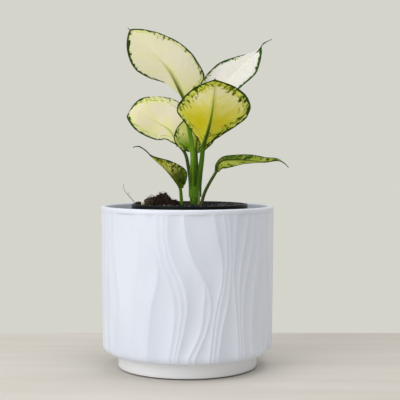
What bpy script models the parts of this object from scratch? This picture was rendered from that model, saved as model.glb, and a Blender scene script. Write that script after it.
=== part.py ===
"""A young Chinese evergreen in its nursery pot, standing inside a white ceramic cover pot.

Shapes are worked out in millimetres and turned into metres when a mesh is made.
+Z is up, -Y is the front, and the origin is the middle of the cover pot's underside.
"""
from dataclasses import dataclass
import math

import bpy
import numpy as np
from mathutils import Vector, noise

MM = 0.001
GAP = 0.3                       # left between touching pieces

# Cover pot
POT_HEIGHT = 140.0
POT_TOP_RADIUS = 75.0
POT_LOW_RADIUS = 73.5
POT_CORNER = 5.0                # rounding between the side and the underside
FOOT_RADIUS = 60.5
FOOT_HEIGHT = 14.3
FOOT_EDGE = (2.3, 1.5)          # width and height of the foot's rounded lower edge
LIP_WALL = 4.6
LIP_CORNER = 1.7
WALL = 5.0
FLOOR = 7.0
WELL_CORNER = 3.0               # rounding of the hollow inside the foot
LEDGE_DROP = 1.0                # the ledge inside slopes down to that hollow
RELIEF_REPEATS = 3
FLUTE_SHARES = (0.095, 0.06)    # depth of a flute over its width, at these heights
FLUTE_HEIGHTS = (45, 120)
FLUTE_DEEPEST = 1.9
FLUTE_STEP = 6.0                # degrees of flute to each extra column

# Each ridge of the relief wanders round the pot on its way down: its angle in degrees
# at these heights. Zero is the front. Where two ridges share an angle they run together.
RIDGE_HEIGHTS = (136, 116, 98, 80, 62, 44, 20)
RIDGES = (
    (-53, -54, -53, -50, -48, -50, -54),
    (-31, -31, -32, -35, -36, -37, -37),
    (-27, -24, -18, -19, -23, -25, -26),
    (-19, -18, -16, -10, -7, -8, -11),
    (-15, -14, -11, -6, -3, -4, -8),
    (-2, 0, 5, 11, 11, 9, 1),
    (-2, 0, 5, 12, 16, 13, 5),
    (17, 20, 23, 23, 19, 17, 15),
    (24, 26, 26, 25, 22, 20, 18),
    (33, 32, 31, 31, 33, 34, 36),
    (43, 40, 37, 36, 36, 37, 38),
    (48, 47, 44, 41, 39, 39, 40),
    (58, 59, 59, 59, 59, 58, 59),
)

# Nursery pot: its middle is a little right of the cover pot's
NURSERY_X = 2.0
NURSERY_RIM_RADIUS = 50.5
NURSERY_BASE_RADIUS = 36.0
NURSERY_TOP = 141.5
NURSERY_WALL = 1.2
NURSERY_LIP_HEIGHT = 8.0
NURSERY_LIP_OUT = 1.6
NURSERY_EDGE = 0.5              # size of the small bevels on its edges
DRAIN_RADIUS = 4.0
DRAIN_CIRCLE = 22.0
TURN_STEPS = 48

# Potting soil and what lies on it. A lobe of the clump is its middle's x and y, its
# half sizes along x and y, and its height
SOIL_LEVEL = 140.0
SOIL_ROUGHNESS = 0.8
SOIL_LUMP = 7.0                 # how far apart its lumps are
CRUMBLY_FROM = -4.0             # the soil is level left of this x, and crumbly from
CRUMBLY_TO = 4.0                # here on
CLUMP_MIDDLE = (-22.5, 4.0)
CLUMP_HALF = (15.5, 11.0)
CLUMP_EDGE = 0.8                # thickness where it runs out
CLUMP_LUMP = 4.0
CLUMP_ROUGHNESS = 0.15
CLUMP_LOBES = ((-20.5, 4, 9, 9.5, 10.3), (-30, 3, 8, 8, 6), (-12.5, 3, 6.5, 6, 3.6))
DRY_ROOT = ((-44.3, 0, 140.6), (-46.4, 0, 143.2), (-48.9, 0, 146), (-51.3, 0, 148.8),
            (-54.1, 0, 152.1), (-55.4, 0, 158.6))
DRY_ROOT_RADII = (0.4, 0.25)

# Plant
STEM_XY = (6.4, 0.0)
STEM_RADIUS = 4.3
CROWN_RADIUS = 4.9
STEM_BOTTOM = 118.0
CROWN_HEIGHT = 156.0
POCKET_ROOM = 1.3 * GAP         # left round what is planted in the soil
SHEET = 0.35                    # half the thickness of a blade
MIDRIB = 0.9                    # how far the midrib stands out under a blade's base
TAIL_HALF_WIDTH = 0.8
FOLD_ROOM = 2.5                 # how far from the midrib the sheet takes to turn to its fold
BLADE_ROWS = 20
ROW_CROWDING = 1.35             # above 1, the rows lie closer together near the base
BLADE_COLUMNS = (-1, -0.72, -0.42, -0.12, 0, 0.12, 0.42, 0.72, 1)
STALK_ROWS = 9
STALK_SIDES = 10
STEM_SIDES = 20


@dataclass
class Leaf:
    """One leaf: a stalk, and a blade along its midrib. Left and right are as seen along
    the midrib with the upper side up. Folds lift a half towards the upper side. A pair
    without a note of its own is for the left half and the right."""
    name: str
    stalk: tuple                # route up to the blade, which goes on along the midrib
    stalk_radii: tuple          # at the foot and at the blade
    midrib: tuple               # route from the blade's base to its tip
    half_width: tuple
    faces: tuple                # where the upper side looks, at the base and at the tip
    left_fold: tuple = (10, 5)  # degrees, at the base and at the tip
    right_fold: tuple = (10, 5)
    curl: tuple = (0, 0)        # degrees that each half bends on its way to the margin
    widest: tuple = (0.4, 0.4)  # share of the length
    base: float = 0.5           # below 1 the base is rounded, at 1 it is a wedge
    taper: tuple = (0.8, 0.8)   # above 1 the blade narrows early
    tail: float = 0.03          # share of the length that is a drawn-out tip
    lobe: float = 4.0           # how far the base's shoulders reach back
    wave: float = 0.8           # height of the margin's waves
    waves: float = 2.5


LEAVES = (
    Leaf("upper_left",
         ((3.9, -1.8, 156.3), (4.4, -2.8, 170), (4.8, -3, 181), (4, -2, 192), (1.9, -1, 204.5),
          (-1.3, 1, 221)),
         (2.45, 1.7),
         ((-2.8, 2, 229), (-7.6, 2, 240), (-15.5, 4, 256), (-31.5, 8, 275), (-52.4, 13, 295)),
         (27.3, 28.4), ((0.3, 0.9, 0.25), (0.2, 0.95, 0.2)),
         left_fold=(41, 21), right_fold=(64, -1), widest=(0.22, 0.6), base=1.22, taper=(0.76, 0.64),
         lobe=3.1),
    Leaf("upper_right",
         ((10.6, 2.9, 156.3), (11.5, 2.5, 167), (13, 1.5, 180), (14, 3, 201)),
         (1.8, 1.4),
         ((14, 6, 225), (25, 9, 239), (39, 14, 254), (54.5, 19, 268.8), (61, 21, 274.6),
          (67.5, 22, 282.3), (75, 22, 286)),
         (19, 21.8), ((-0.35, -0.75, 0.5), (-0.3, -0.8, 0.5)),
         left_fold=(12, 10), right_fold=(12, 10), widest=(0.36, 0.5), base=0.57, taper=(1.75, 1.06),
         tail=0.12),
    Leaf("front",
         ((9.0, -1.8, 156.3), (9.6, -2.4, 163), (10.8, -3.2, 170), (12.2, -4.2, 178)),
         (2.3, 1.9),
         ((14, -8, 191), (17.8, -13, 204), (20.3, -20, 215), (23, -33, 237), (23.2, -50, 246.5)),
         (32.8, 30.5), ((0.05, 0.95, 0.3), (0, 0.8, 0.6)),
         left_fold=(14, 8), right_fold=(14, 8), widest=(0.52, 0.38), base=1.44, taper=(1.36, 1.13)),
    Leaf("left",
         ((2.9, 3.0, 156.3), (2.4, 4.2, 163), (0.9, 6.5, 173), (-2.6, 12, 186)),
         (1.8, 1.3),
         ((-8, 15, 193), (-16.5, 20, 206), (-26, 27, 212), (-48.5, 37.5, 223), (-56.1, 56, 219.9)),
         (16.2, 25.6), ((-0.2, -0.95, 0.15), (-0.3, -0.5, 0.8)),
         left_fold=(-32, -25), right_fold=(-4, 30), widest=(0.51, 0.33), base=0.8, taper=(1.0, 1.15),
         lobe=1.0),
    Leaf("low_left",
         ((-4.6, -6, 128), (-4.6, -6, 141), (-5.2, -6, 148)),
         (1.9, 1.4),
         ((-6, -7, 155), (-10, -9, 161), (-19, -13, 172), (-30, -17, 182), (-36, -19, 188),
          (-42, -20, 191), (-46, -20, 190)),
         (11.5, 11.5), ((0.5, 0.1, 0.85), (0.5, 0.1, 0.85)),
         left_fold=(60, 50), right_fold=(60, 50), widest=(0.2, 0.2), taper=(1.5, 1.5), tail=0.22, wave=0.4),
    Leaf("low_right",
         ((12.2, -5.2, 128), (12.2, -5, 140), (14.6, -4, 150), (20, -4, 161)),
         (1.5, 1.3),
         ((25.1, -4, 169.9), (26.8, -5, 175.1), (30.4, -6, 178.4), (39.4, -8, 179.4), (50, -10, 179),
          (64.9, -12, 177.4), (80.9, -14, 177.9), (86.6, -15, 172.9)),
         (6.6, 10.7), ((-0.6, -0.6, 0.5), (0.1, -0.4, 0.9)),
         left_fold=(10, 26), right_fold=(-8, 54), widest=(0.54, 0.28), base=0.7, taper=(0.63, 1.89),
         tail=0.11, lobe=4.9, wave=0.4),
    Leaf("back",
         ((6.8, 3.7, 156.3), (7.4, 4.4, 164), (8, 5, 174)),
         (1.7, 1.4),
         ((7.6, 6, 186), (8.4, 7, 197), (12, 10, 213), (23, 22, 232)),
         (20.9, 20.5), ((0.35, -0.7, 0.6), (0.1, -0.5, 0.85)),
         left_fold=(-7, 6), right_fold=(-35, -17), widest=(0.2, 0.27), base=0.44, taper=(2.2, 1.0),
         lobe=0.5),
)
PLANTED = ("low_left", "low_right")     # these stalks rise from the soil beside the stem
LOBE_SHARE = 0.35               # share of a blade's length that its shoulders take up
LOBE_RAMP = 0.08                # share of the length over which they set in


# ---------------------------------------------------------------- helpers

def clear_scene():
    for old in list(bpy.data.objects):
        bpy.data.objects.remove(old, do_unlink=True)


def plain_material(name, colour, roughness):
    material = bpy.data.materials.new(name)
    material.use_nodes = True
    shader = material.node_tree.nodes["Principled BSDF"]
    shader.inputs["Base Color"].default_value = (*colour, 1)
    shader.inputs["Roughness"].default_value = roughness
    shader.inputs["Metallic"].default_value = 0
    material.diffuse_color = (*colour, 1)
    return material


def mesh_object(name, points, faces, material, sharp_above=40):
    """An object from points in millimetres, shaded smooth except at sharp edges."""
    mesh = bpy.data.meshes.new(name)
    mesh.from_pydata([tuple(MM * c for c in point) for point in points], [], faces)
    mesh.materials.append(material)
    mesh.shade_smooth()
    mesh.set_sharp_from_angle(angle=math.radians(sharp_above))
    made = bpy.data.objects.new(name, mesh)
    bpy.context.scene.collection.objects.link(made)
    return made


def ring_faces(rings, sides):
    """Quads between rings of points, each ring a closed loop of the given sides."""
    faces = []
    for ring in range(rings - 1):
        for side in range(sides):
            after = (side + 1) % sides
            low, high = ring * sides, (ring + 1) * sides
            faces.append((low + side, low + after, high + after, high + side))
    return faces


def hermite(knots, values, slopes, at):
    """Smooth values at the given places, from values and slopes at the knots."""
    at = np.clip(np.atleast_1d(np.asarray(at, float)), knots[0], knots[-1])
    span = np.clip(np.searchsorted(knots, at, side="right") - 1, 0, len(knots) - 2)
    shape = (-1,) + (1,) * (values.ndim - 1)
    length = (knots[span + 1] - knots[span]).reshape(shape)
    share = (at - knots[span]).reshape(shape) / length
    return ((1 + 2 * share) * (1 - share) ** 2 * values[span]
            + share * (1 - share) ** 2 * length * slopes[span]
            + share ** 2 * (3 - 2 * share) * values[span + 1]
            + share ** 2 * (share - 1) * length * slopes[span + 1])


class SmoothPath:
    """A smooth curve through a few points, measured by its length."""

    def __init__(self, route):
        self.route = np.array(route, float)
        steps = np.linalg.norm(np.diff(self.route, axis=0), axis=1)
        self.knots = np.append(0, np.cumsum(steps))
        order = 2 if len(route) > 2 else 1
        self.slopes = np.gradient(self.route, self.knots, axis=0, edge_order=order)
        self.fine = np.linspace(0, self.knots[-1], 600)
        steps = np.linalg.norm(np.diff(self.curve(self.fine), axis=0), axis=1)
        self.run = np.append(0, np.cumsum(steps))

    def curve(self, at):
        return hermite(self.knots, self.route, self.slopes, at)

    def length(self):
        return self.run[-1]

    def length_at(self, index):
        """The length of the curve up to a point of its route."""
        return np.interp(self.knots[index], self.fine, self.run)

    def sample(self, lengths):
        """Points at lengths along the curve, and the curve's directions there."""
        at = np.interp(lengths, self.run, self.fine)
        step = self.knots[-1] / 500
        ahead = self.curve(np.minimum(at + step, self.knots[-1]))
        behind = self.curve(np.maximum(at - step, 0))
        directions = (ahead - behind) / np.linalg.norm(ahead - behind, axis=1)[:, None]
        return self.curve(at), directions


def tube(name, path, radii, material, rows=STALK_ROWS, sides=STALK_SIDES, end=None):
    """A closed round tube along a path, from the first radius to the second."""
    points, directions = path.sample(np.linspace(0, path.length() if end is None else end, rows))
    vertices = []
    for row, (middle, forward) in enumerate(zip(points, directions)):
        radius = radii[0] + (radii[1] - radii[0]) * row / (rows - 1)
        across = np.cross((0, 1, 0), forward)
        across /= np.linalg.norm(across)
        other = np.cross(forward, across)
        for side in range(sides):
            turn = 2 * math.pi * side / sides
            vertices.append(middle + radius * (math.cos(turn) * across + math.sin(turn) * other))
    faces = ring_faces(rows, sides)
    faces.append(tuple(reversed(range(sides))))
    faces.append(tuple(range((rows - 1) * sides, rows * sides)))
    return mesh_object(name, vertices, faces, material)


def cut(target, cutter):
    """Takes the cutter's shape out of the target."""
    cutter.hide_render = True
    cutter.display_type = "WIRE"
    boolean = target.modifiers.new("cut " + cutter.name, "BOOLEAN")
    boolean.operation = "DIFFERENCE"
    boolean.object = cutter


# ---------------------------------------------------------------- cover pot

def ridge_angle(ridge, height):
    """The angle of a ridge at a height, in degrees, along a smooth line."""
    repeat, index = divmod(ridge, len(RIDGES))
    heights = np.array(RIDGE_HEIGHTS[::-1], float)
    angles = np.array(RIDGES[index][::-1], float)
    angle = hermite(heights, angles, np.gradient(angles, heights), height)[0]
    return float(angle) + repeat * 360 / RELIEF_REPEATS


def relief_columns():
    """Each column of the wall as (ridge on its left, share of the flute)."""
    columns = []
    for ridge in range(len(RIDGES) * RELIEF_REPEATS):
        widths = [ridge_angle(ridge + 1, height) - ridge_angle(ridge, height)
                  for height in RIDGE_HEIGHTS]
        count = 1 + int(max(widths) // FLUTE_STEP)
        columns += [(ridge, step / count) for step in range(count)]
    return columns


def wall_ring(columns, height, radius, relief):
    """One ring of the pot. Relief is how much of the flutes' depth it has."""
    steepness = float(np.interp(height, FLUTE_HEIGHTS, FLUTE_SHARES))
    ring = []
    for ridge, share in columns:
        left = ridge_angle(ridge, height)
        width = max(ridge_angle(ridge + 1, height) - left, 0)
        deepest = min(FLUTE_DEEPEST, steepness * math.radians(width) * radius)
        depth = relief * deepest * 4 * share * (1 - share)
        turn = math.radians(left + share * width)
        reach = radius - depth
        ring.append((reach * math.sin(turn), -reach * math.cos(turn), height))
    return ring


def corner(radius, height, size, start, end, steps):
    """Points of an arc, as (radius, height), between two angles in degrees."""
    turns = [math.radians(start + (end - start) * step / steps) for step in range(steps + 1)]
    return [(radius + size * math.cos(t), height + size * math.sin(t)) for t in turns]


def pot_profile():
    """(radius, height, relief) from the underside, up the outside and down the inside."""
    edge_width, edge_height = FOOT_EDGE
    foot = [(FOOT_RADIUS - edge_width, 0, 0),
            (FOOT_RADIUS - edge_width / 2, edge_height / 3, 0),
            (FOOT_RADIUS, edge_height, 0), (FOOT_RADIUS, FOOT_HEIGHT, 0)]
    low = corner(POT_LOW_RADIUS - POT_CORNER, FOOT_HEIGHT + POT_CORNER, POT_CORNER, -90, 0, 3)
    shoulder = [(*low[0], 0)] + [(radius, height, 0.5) for radius, height in low[1:-1]]
    flare = (POT_TOP_RADIUS - POT_LOW_RADIUS) / POT_HEIGHT
    side = [(POT_LOW_RADIUS + flare * height, height, 1) for height in RIDGE_HEIGHTS[::-1]]
    lip_height = POT_HEIGHT - LIP_CORNER
    lip = (corner(POT_TOP_RADIUS - LIP_CORNER, lip_height, LIP_CORNER, 0, 90, 2)
           + corner(POT_TOP_RADIUS - LIP_WALL + LIP_CORNER, lip_height, LIP_CORNER, 90, 180, 2))
    inside = POT_LOW_RADIUS - WALL
    ledge = FOOT_HEIGHT + WALL
    hollow = FOOT_RADIUS - WALL
    bowl = corner(inside - POT_CORNER, ledge + POT_CORNER, POT_CORNER, 0, -90, 2)
    well = corner(hollow - WELL_CORNER, FLOOR + WELL_CORNER, WELL_CORNER, 0, -90, 1)
    below = bowl + [(hollow, ledge - LEDGE_DROP)] + well
    return foot + shoulder + side + [(radius, height, 0) for radius, height in lip + below]


def make_cover_pot(material):
    columns = relief_columns()
    sides = len(columns)
    profile = pot_profile()
    points = []
    for radius, height, relief in profile:
        points += wall_ring(columns, height, radius, relief)
    faces = ring_faces(len(profile), sides)
    faces.append(tuple(reversed(range(sides))))
    faces.append(tuple(range((len(profile) - 1) * sides, len(profile) * sides)))
    return mesh_object("cover_pot", points, faces, material, sharp_above=50)


# ---------------------------------------------------------------- nursery pot and soil

def nursery_bottom():
    return FLOOR + GAP


def nursery_inner_radius(height):
    share = (height - nursery_bottom()) / (NURSERY_TOP - nursery_bottom())
    outer = NURSERY_RIM_RADIUS - NURSERY_LIP_OUT
    return NURSERY_BASE_RADIUS + (outer - NURSERY_BASE_RADIUS) * share - NURSERY_WALL


def make_nursery_pot(material):
    """A thin tapered pot with a turned-out lip, and four drain holes in its floor."""
    floor = nursery_bottom() + NURSERY_WALL
    lip_low = NURSERY_TOP - NURSERY_LIP_HEIGHT
    profile = [(0, floor), (nursery_inner_radius(floor), floor),
               (nursery_inner_radius(NURSERY_TOP), NURSERY_TOP),
               (NURSERY_RIM_RADIUS - NURSERY_EDGE, NURSERY_TOP),
               (NURSERY_RIM_RADIUS, NURSERY_TOP - NURSERY_EDGE),
               (NURSERY_RIM_RADIUS - NURSERY_EDGE, lip_low),
               (nursery_inner_radius(lip_low) + NURSERY_WALL, lip_low - NURSERY_EDGE),
               (NURSERY_BASE_RADIUS, nursery_bottom() + NURSERY_EDGE),
               (NURSERY_BASE_RADIUS - NURSERY_EDGE, nursery_bottom()), (0, nursery_bottom())]
    points = [(radius, 0, height) for radius, height in profile]
    mesh = bpy.data.meshes.new("nursery_pot")
    edges = [(index, index + 1) for index in range(len(points) - 1)]
    mesh.from_pydata([tuple(MM * c for c in point) for point in points], edges, [])
    mesh.materials.append(material)
    pot = bpy.data.objects.new("nursery_pot", mesh)
    bpy.context.scene.collection.objects.link(pot)
    pot.location.x = NURSERY_X * MM
    turn = pot.modifiers.new("turned", "SCREW")
    turn.steps = turn.render_steps = TURN_STEPS
    turn.use_merge_vertices = True
    turn.merge_threshold = 0.00001
    turn.use_smooth_shade = True
    for quarter in range(4):
        angle = math.radians(45 + 90 * quarter)
        x = NURSERY_X + DRAIN_CIRCLE * math.cos(angle)
        y = DRAIN_CIRCLE * math.sin(angle)
        hole = tube(f"drain_cutter_{quarter + 1}",
                    SmoothPath(((x, y, nursery_bottom() - WALL), (x, y, floor + WALL))),
                    (DRAIN_RADIUS, DRAIN_RADIUS), material, rows=2, sides=16)
        cut(pot, hole)
    return pot


def soil_height(x, y):
    """The soil is level at the left, under the clump and chips, and crumbly elsewhere."""
    lumps = noise.noise(Vector((x / SOIL_LUMP, y / SOIL_LUMP, 0)))
    crumbly = min(max((x - CRUMBLY_FROM) / (CRUMBLY_TO - CRUMBLY_FROM), 0), 1)
    return SOIL_LEVEL + SOIL_ROUGHNESS * lumps * crumbly


def make_soil(material):
    """Fills the nursery pot, with pockets for the stem and the stalks planted in it."""
    rings, sides = 8, 40
    bottom = nursery_bottom() + NURSERY_WALL + GAP
    top_radius = nursery_inner_radius(SOIL_LEVEL) - GAP
    low_radius = nursery_inner_radius(bottom) - GAP
    points = []
    for ring in range(rings):
        reach = top_radius * (1 - ring / rings)
        for side in range(sides):
            turn = 2 * math.pi * side / sides
            x = NURSERY_X + reach * math.cos(turn)
            y = reach * math.sin(turn)
            height = SOIL_LEVEL if ring == 0 else soil_height(x, y)
            points.append((x, y, height))
    middle = len(points)
    points.append((NURSERY_X, 0, soil_height(NURSERY_X, 0)))
    low = len(points)
    for side in range(sides):
        turn = 2 * math.pi * side / sides
        points.append((NURSERY_X + low_radius * math.cos(turn), low_radius * math.sin(turn), bottom))
    faces = ring_faces(rings, sides)
    for side in range(sides):
        after = (side + 1) % sides
        last = (rings - 1) * sides
        faces.append((last + side, last + after, middle))
        faces.append((low + side, low + after, after, side))
    faces.append(tuple(reversed(range(low, low + sides))))
    return mesh_object("potting_soil", points, faces, material, sharp_above=60)


def make_pocket(soil, name, route, radii, sides, material):
    """Cuts room for a planted stalk, a gap wider all round and deeper at its foot."""
    x, y, z = route[0]
    path = SmoothPath(((x, y, z - GAP),) + tuple(route[1:]))
    wider = tuple(radius + POCKET_ROOM for radius in radii)
    cut(soil, tube(name + "_pocket_cutter", path, wider, material, sides=sides))


def clump_rise(x, y):
    """Height of the coir clump's upper side above its underside."""
    height = CLUMP_EDGE
    for lobe_x, lobe_y, half_x, half_y, lobe_height in CLUMP_LOBES:
        out = ((x - lobe_x) / half_x) ** 2 + ((y - lobe_y) / half_y) ** 2
        height = max(height, lobe_height * max(1 - out, 0) ** 0.6)
    lumps = noise.noise(Vector((x / CLUMP_LUMP, y / CLUMP_LUMP, 0)))
    return CLUMP_EDGE + (height - CLUMP_EDGE) * (1 + CLUMP_ROUGHNESS * lumps)


def make_clump(material):
    """A heap of coir fibre on the left of the soil."""
    rings, sides = 9, 24
    base = SOIL_LEVEL + GAP
    points = []
    for ring in range(rings):
        share = 1 - ring / rings
        for side in range(sides):
            turn = 2 * math.pi * side / sides
            x = CLUMP_MIDDLE[0] + CLUMP_HALF[0] * share * math.cos(turn)
            y = CLUMP_MIDDLE[1] + CLUMP_HALF[1] * share * math.sin(turn)
            points.append((x, y, base + clump_rise(x, y)))
    middle = len(points)
    points.append((*CLUMP_MIDDLE, base + clump_rise(*CLUMP_MIDDLE)))
    low = len(points)
    points += [(x, y, base) for x, y, _ in points[:sides]]
    faces = ring_faces(rings, sides)
    last = (rings - 1) * sides
    for side in range(sides):
        after = (side + 1) % sides
        faces.append((last + side, last + after, middle))
        faces.append((low + side, low + after, after, side))
    faces.append(tuple(reversed(range(low, low + sides))))
    return mesh_object("coir_clump", points, faces, material, sharp_above=60)


def make_lump(name, place, size, turn, seed, material):
    """A rough chip or pebble that lies on the soil, with a flat underside."""
    sides, levels = 8, (0, 0.35, 0.75, 1)
    spread = (0.85, 1, 0.85, 0.45)
    points = []
    for level, reach in zip(levels, spread):
        for side in range(sides):
            around = 2 * math.pi * side / sides
            rough = 1 + 0.2 * noise.noise(Vector((math.cos(around), math.sin(around), seed + level)))
            x = size[0] / 2 * reach * rough * math.cos(around)
            y = size[1] / 2 * reach * rough * math.sin(around)
            points.append((place[0] + x * math.cos(turn) - y * math.sin(turn),
                           place[1] + x * math.sin(turn) + y * math.cos(turn),
                           SOIL_LEVEL + GAP + size[2] * level))
    faces = ring_faces(len(levels), sides)
    faces.append(tuple(reversed(range(sides))))
    faces.append(tuple(range((len(levels) - 1) * sides, len(levels) * sides)))
    return mesh_object(name, points, faces, material, sharp_above=60)


# ---------------------------------------------------------------- plant

def blade_width(leaf, share, half):
    """Width of the left half (0) or the right (1) at a share of the blade's length."""
    widest = leaf.widest[half]
    if share < widest:
        form = math.sin(math.pi / 2 * share / widest) ** leaf.base
    else:
        past = (share - widest) / (1 - leaf.tail - widest)
        form = math.cos(math.pi / 2 * min(past, 1)) ** leaf.taper[half]
    neck = leaf.stalk_radii[1] * (1 - share)
    tail = TAIL_HALF_WIDTH * min((1 - share) / 0.1, 1)
    return max(leaf.half_width[half] * form, neck, tail)


def blade_section(leaf, share, across, middle, forward, face):
    """The blade's middle surface at one point, and the direction its upper side faces."""
    right = np.cross(forward, face)
    side = 1 if across >= 0 else -1
    width = blade_width(leaf, share, 1 if side > 0 else 0)
    reach = abs(across)
    base_fold, tip_fold = leaf.right_fold if side > 0 else leaf.left_fold
    fold = math.radians(base_fold + (tip_fold - base_fold) * share)
    bend = math.radians(leaf.curl[1] if side > 0 else leaf.curl[0]) + 1e-6
    out = width * (math.sin(fold + bend * reach) - math.sin(fold)) / bend
    lift = width * (math.cos(fold) - math.cos(fold + bend * reach)) / bend
    lift += leaf.wave * math.sin(2 * math.pi * leaf.waves * share + side) * reach ** 2 * (1 - share)
    back = leaf.lobe * reach ** 2 * max(1 - share / LOBE_SHARE, 0) ** 2 * min(share / LOBE_RAMP, 1)
    place = middle + right * side * out + face * lift - forward * back
    angle = (fold + bend * reach) * min(width * reach / FOLD_ROOM, 1)
    return place, face * math.cos(angle) - right * side * math.sin(angle)


def leaf_path(leaf):
    """The curve along stalk and midrib, and its length where the blade begins."""
    path = SmoothPath(leaf.stalk + leaf.midrib)
    return path, path.length_at(len(leaf.stalk))


def make_blade(leaf, material):
    """A thin closed blade with sharp margins and a midrib that stands out underneath."""
    path, joint = leaf_path(leaf)
    start = joint + GAP / 2
    shares = np.linspace(0, 1, BLADE_ROWS + 1) ** ROW_CROWDING
    points, directions = path.sample(start + (path.length() - start) * shares)
    columns = len(BLADE_COLUMNS)
    upper, lower = [], []
    for row, share in enumerate(shares[:-1]):
        forward = directions[row]
        face = (1 - share) * np.array(leaf.faces[0]) + share * np.array(leaf.faces[1])
        face -= forward * face.dot(forward)
        face /= np.linalg.norm(face)
        for across in BLADE_COLUMNS:
            place, up = blade_section(leaf, share, across, points[row], forward, face)
            inner = 1 - abs(across) ** 3
            rib = MIDRIB * (1 - share) * max(1 - abs(across) * 6, 0)
            upper.append(place + up * SHEET * inner)
            lower.append(place - up * (SHEET * inner + rib))
    vertices = upper[:]
    under = {}
    for index, point in enumerate(lower):
        if index % columns in (0, columns - 1):
            under[index] = index
        else:
            under[index] = len(vertices)
            vertices.append(point)
    tip = len(vertices)
    vertices.append(points[-1])
    faces = []
    for row in range(BLADE_ROWS - 1):
        for column in range(columns - 1):
            low = row * columns + column
            high = low + columns
            for triangle in ((low, low + 1, high + 1), (low, high + 1, high)):
                faces.append(triangle)
                faces.append(tuple(under[corner] for corner in reversed(triangle)))
    last = (BLADE_ROWS - 1) * columns
    for column in range(last, last + columns - 1):
        faces.append((column, column + 1, tip))
        faces.append((under[column + 1], under[column], tip))
    base = list(range(columns)) + [under[column] for column in range(columns - 2, 0, -1)]
    faces.append(tuple(reversed(base)))
    return mesh_object(leaf.name + "_leaf", vertices, faces, material, sharp_above=70)


def make_stalk(leaf, material):
    path, joint = leaf_path(leaf)
    return tube(leaf.name + "_stalk", path, leaf.stalk_radii, material, end=joint - GAP / 2)


def stem_route():
    x, y = STEM_XY
    return (x, y, STEM_BOTTOM), (x, y, CROWN_HEIGHT)


def make_stem(material):
    """The short upright stem, from inside the soil to the crown that the stalks leave."""
    return tube("stem", SmoothPath(stem_route()), (STEM_RADIUS, CROWN_RADIUS), material,
                rows=3, sides=STEM_SIDES)


def build():
    clear_scene()
    glaze = plain_material("white_glaze", (0.80, 0.82, 0.84), 0.35)
    black = plain_material("black_plastic", (0.02, 0.02, 0.022), 0.4)
    earth = plain_material("potting_soil", (0.035, 0.025, 0.02), 0.95)
    coir = plain_material("coir", (0.12, 0.06, 0.035), 0.95)
    bark = plain_material("bark", (0.16, 0.11, 0.05), 0.9)
    perlite = plain_material("perlite", (0.75, 0.7, 0.58), 0.8)
    cream = plain_material("cream_leaf", (0.72, 0.7, 0.42), 0.45)
    green = plain_material("green_stalk", (0.10, 0.24, 0.04), 0.4)
    make_cover_pot(glaze)
    make_nursery_pot(black)
    soil = make_soil(earth)
    make_stem(green)
    make_pocket(soil, "stem", stem_route(), (STEM_RADIUS, CROWN_RADIUS), STEM_SIDES, earth)
    make_clump(coir)
    make_lump("bark_chip_1", (-33.5, -10), (8, 3.4, 6.4), 0.3, 1.0, bark)
    make_lump("bark_chip_2", (-42.5, 3), (5.6, 3.5, 3.2), 0.4, 2.0, bark)
    make_lump("perlite_1", (-37.8, -6.5), (4, 3.6, 4.1), 0.0, 3.0, perlite)
    tube("dry_root", SmoothPath(DRY_ROOT), DRY_ROOT_RADII, bark, rows=10, sides=6)
    for leaf in LEAVES:
        make_stalk(leaf, green)
        make_blade(leaf, cream)
        if leaf.name in PLANTED:
            make_pocket(soil, leaf.name, leaf.stalk + leaf.midrib[:1], leaf.stalk_radii,
                        STALK_SIDES, earth)


build()
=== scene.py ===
"""The looks of a young Chinese evergreen in its nursery pot, inside a white ceramic cover pot.

Shapes are worked out in millimetres and turned into metres when a mesh is made. The routes,
ridges and sizes are the part's own; here they get finer surfaces and their materials.
"""

from dataclasses import dataclass
from functools import cache
import math
import random

import bmesh
import bpy
import numpy as np
from mathutils import Matrix, Vector, noise


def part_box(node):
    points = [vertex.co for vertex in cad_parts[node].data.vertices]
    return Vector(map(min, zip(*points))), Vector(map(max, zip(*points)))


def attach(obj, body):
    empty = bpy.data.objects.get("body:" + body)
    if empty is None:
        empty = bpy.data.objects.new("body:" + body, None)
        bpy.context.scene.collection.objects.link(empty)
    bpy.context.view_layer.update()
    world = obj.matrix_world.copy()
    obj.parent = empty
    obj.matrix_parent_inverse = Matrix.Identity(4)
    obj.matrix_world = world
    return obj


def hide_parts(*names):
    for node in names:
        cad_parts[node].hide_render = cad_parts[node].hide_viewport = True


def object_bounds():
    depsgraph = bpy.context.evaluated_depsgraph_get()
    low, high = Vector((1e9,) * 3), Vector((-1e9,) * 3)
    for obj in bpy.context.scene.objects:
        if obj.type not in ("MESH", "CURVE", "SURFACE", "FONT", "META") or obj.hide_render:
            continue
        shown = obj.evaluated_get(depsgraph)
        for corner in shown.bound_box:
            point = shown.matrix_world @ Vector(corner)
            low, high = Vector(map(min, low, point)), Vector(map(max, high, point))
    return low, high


MM = 0.001

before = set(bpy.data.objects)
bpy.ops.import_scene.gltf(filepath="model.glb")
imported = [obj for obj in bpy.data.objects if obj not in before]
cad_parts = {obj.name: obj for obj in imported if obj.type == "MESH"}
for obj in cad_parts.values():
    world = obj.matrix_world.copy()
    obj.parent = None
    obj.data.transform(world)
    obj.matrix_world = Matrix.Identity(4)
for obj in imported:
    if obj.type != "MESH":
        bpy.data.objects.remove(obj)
cad_low, cad_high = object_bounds()

# ---------------------------------------------------------------- sizes

CAMERA_PLACE = (11, -866, 184)
CAMERA_DOWN = 2.6               # degrees
CAMERA_LENS = 89.73             # on a 36 mm sensor
LAMPS = (("key", (-900, -850, 620), 1100, 9.2), ("top", (150, -100, 1300), 900, 5.0))
DAYLIGHT = 0.53
WALL_TONE = (0.66, 0.66, 0.60)
WALL_FROM = (0.1565, 0.1575)    # metres behind the pot's middle, where the floor turns to it
FLOOR_REACH = 6000

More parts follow.
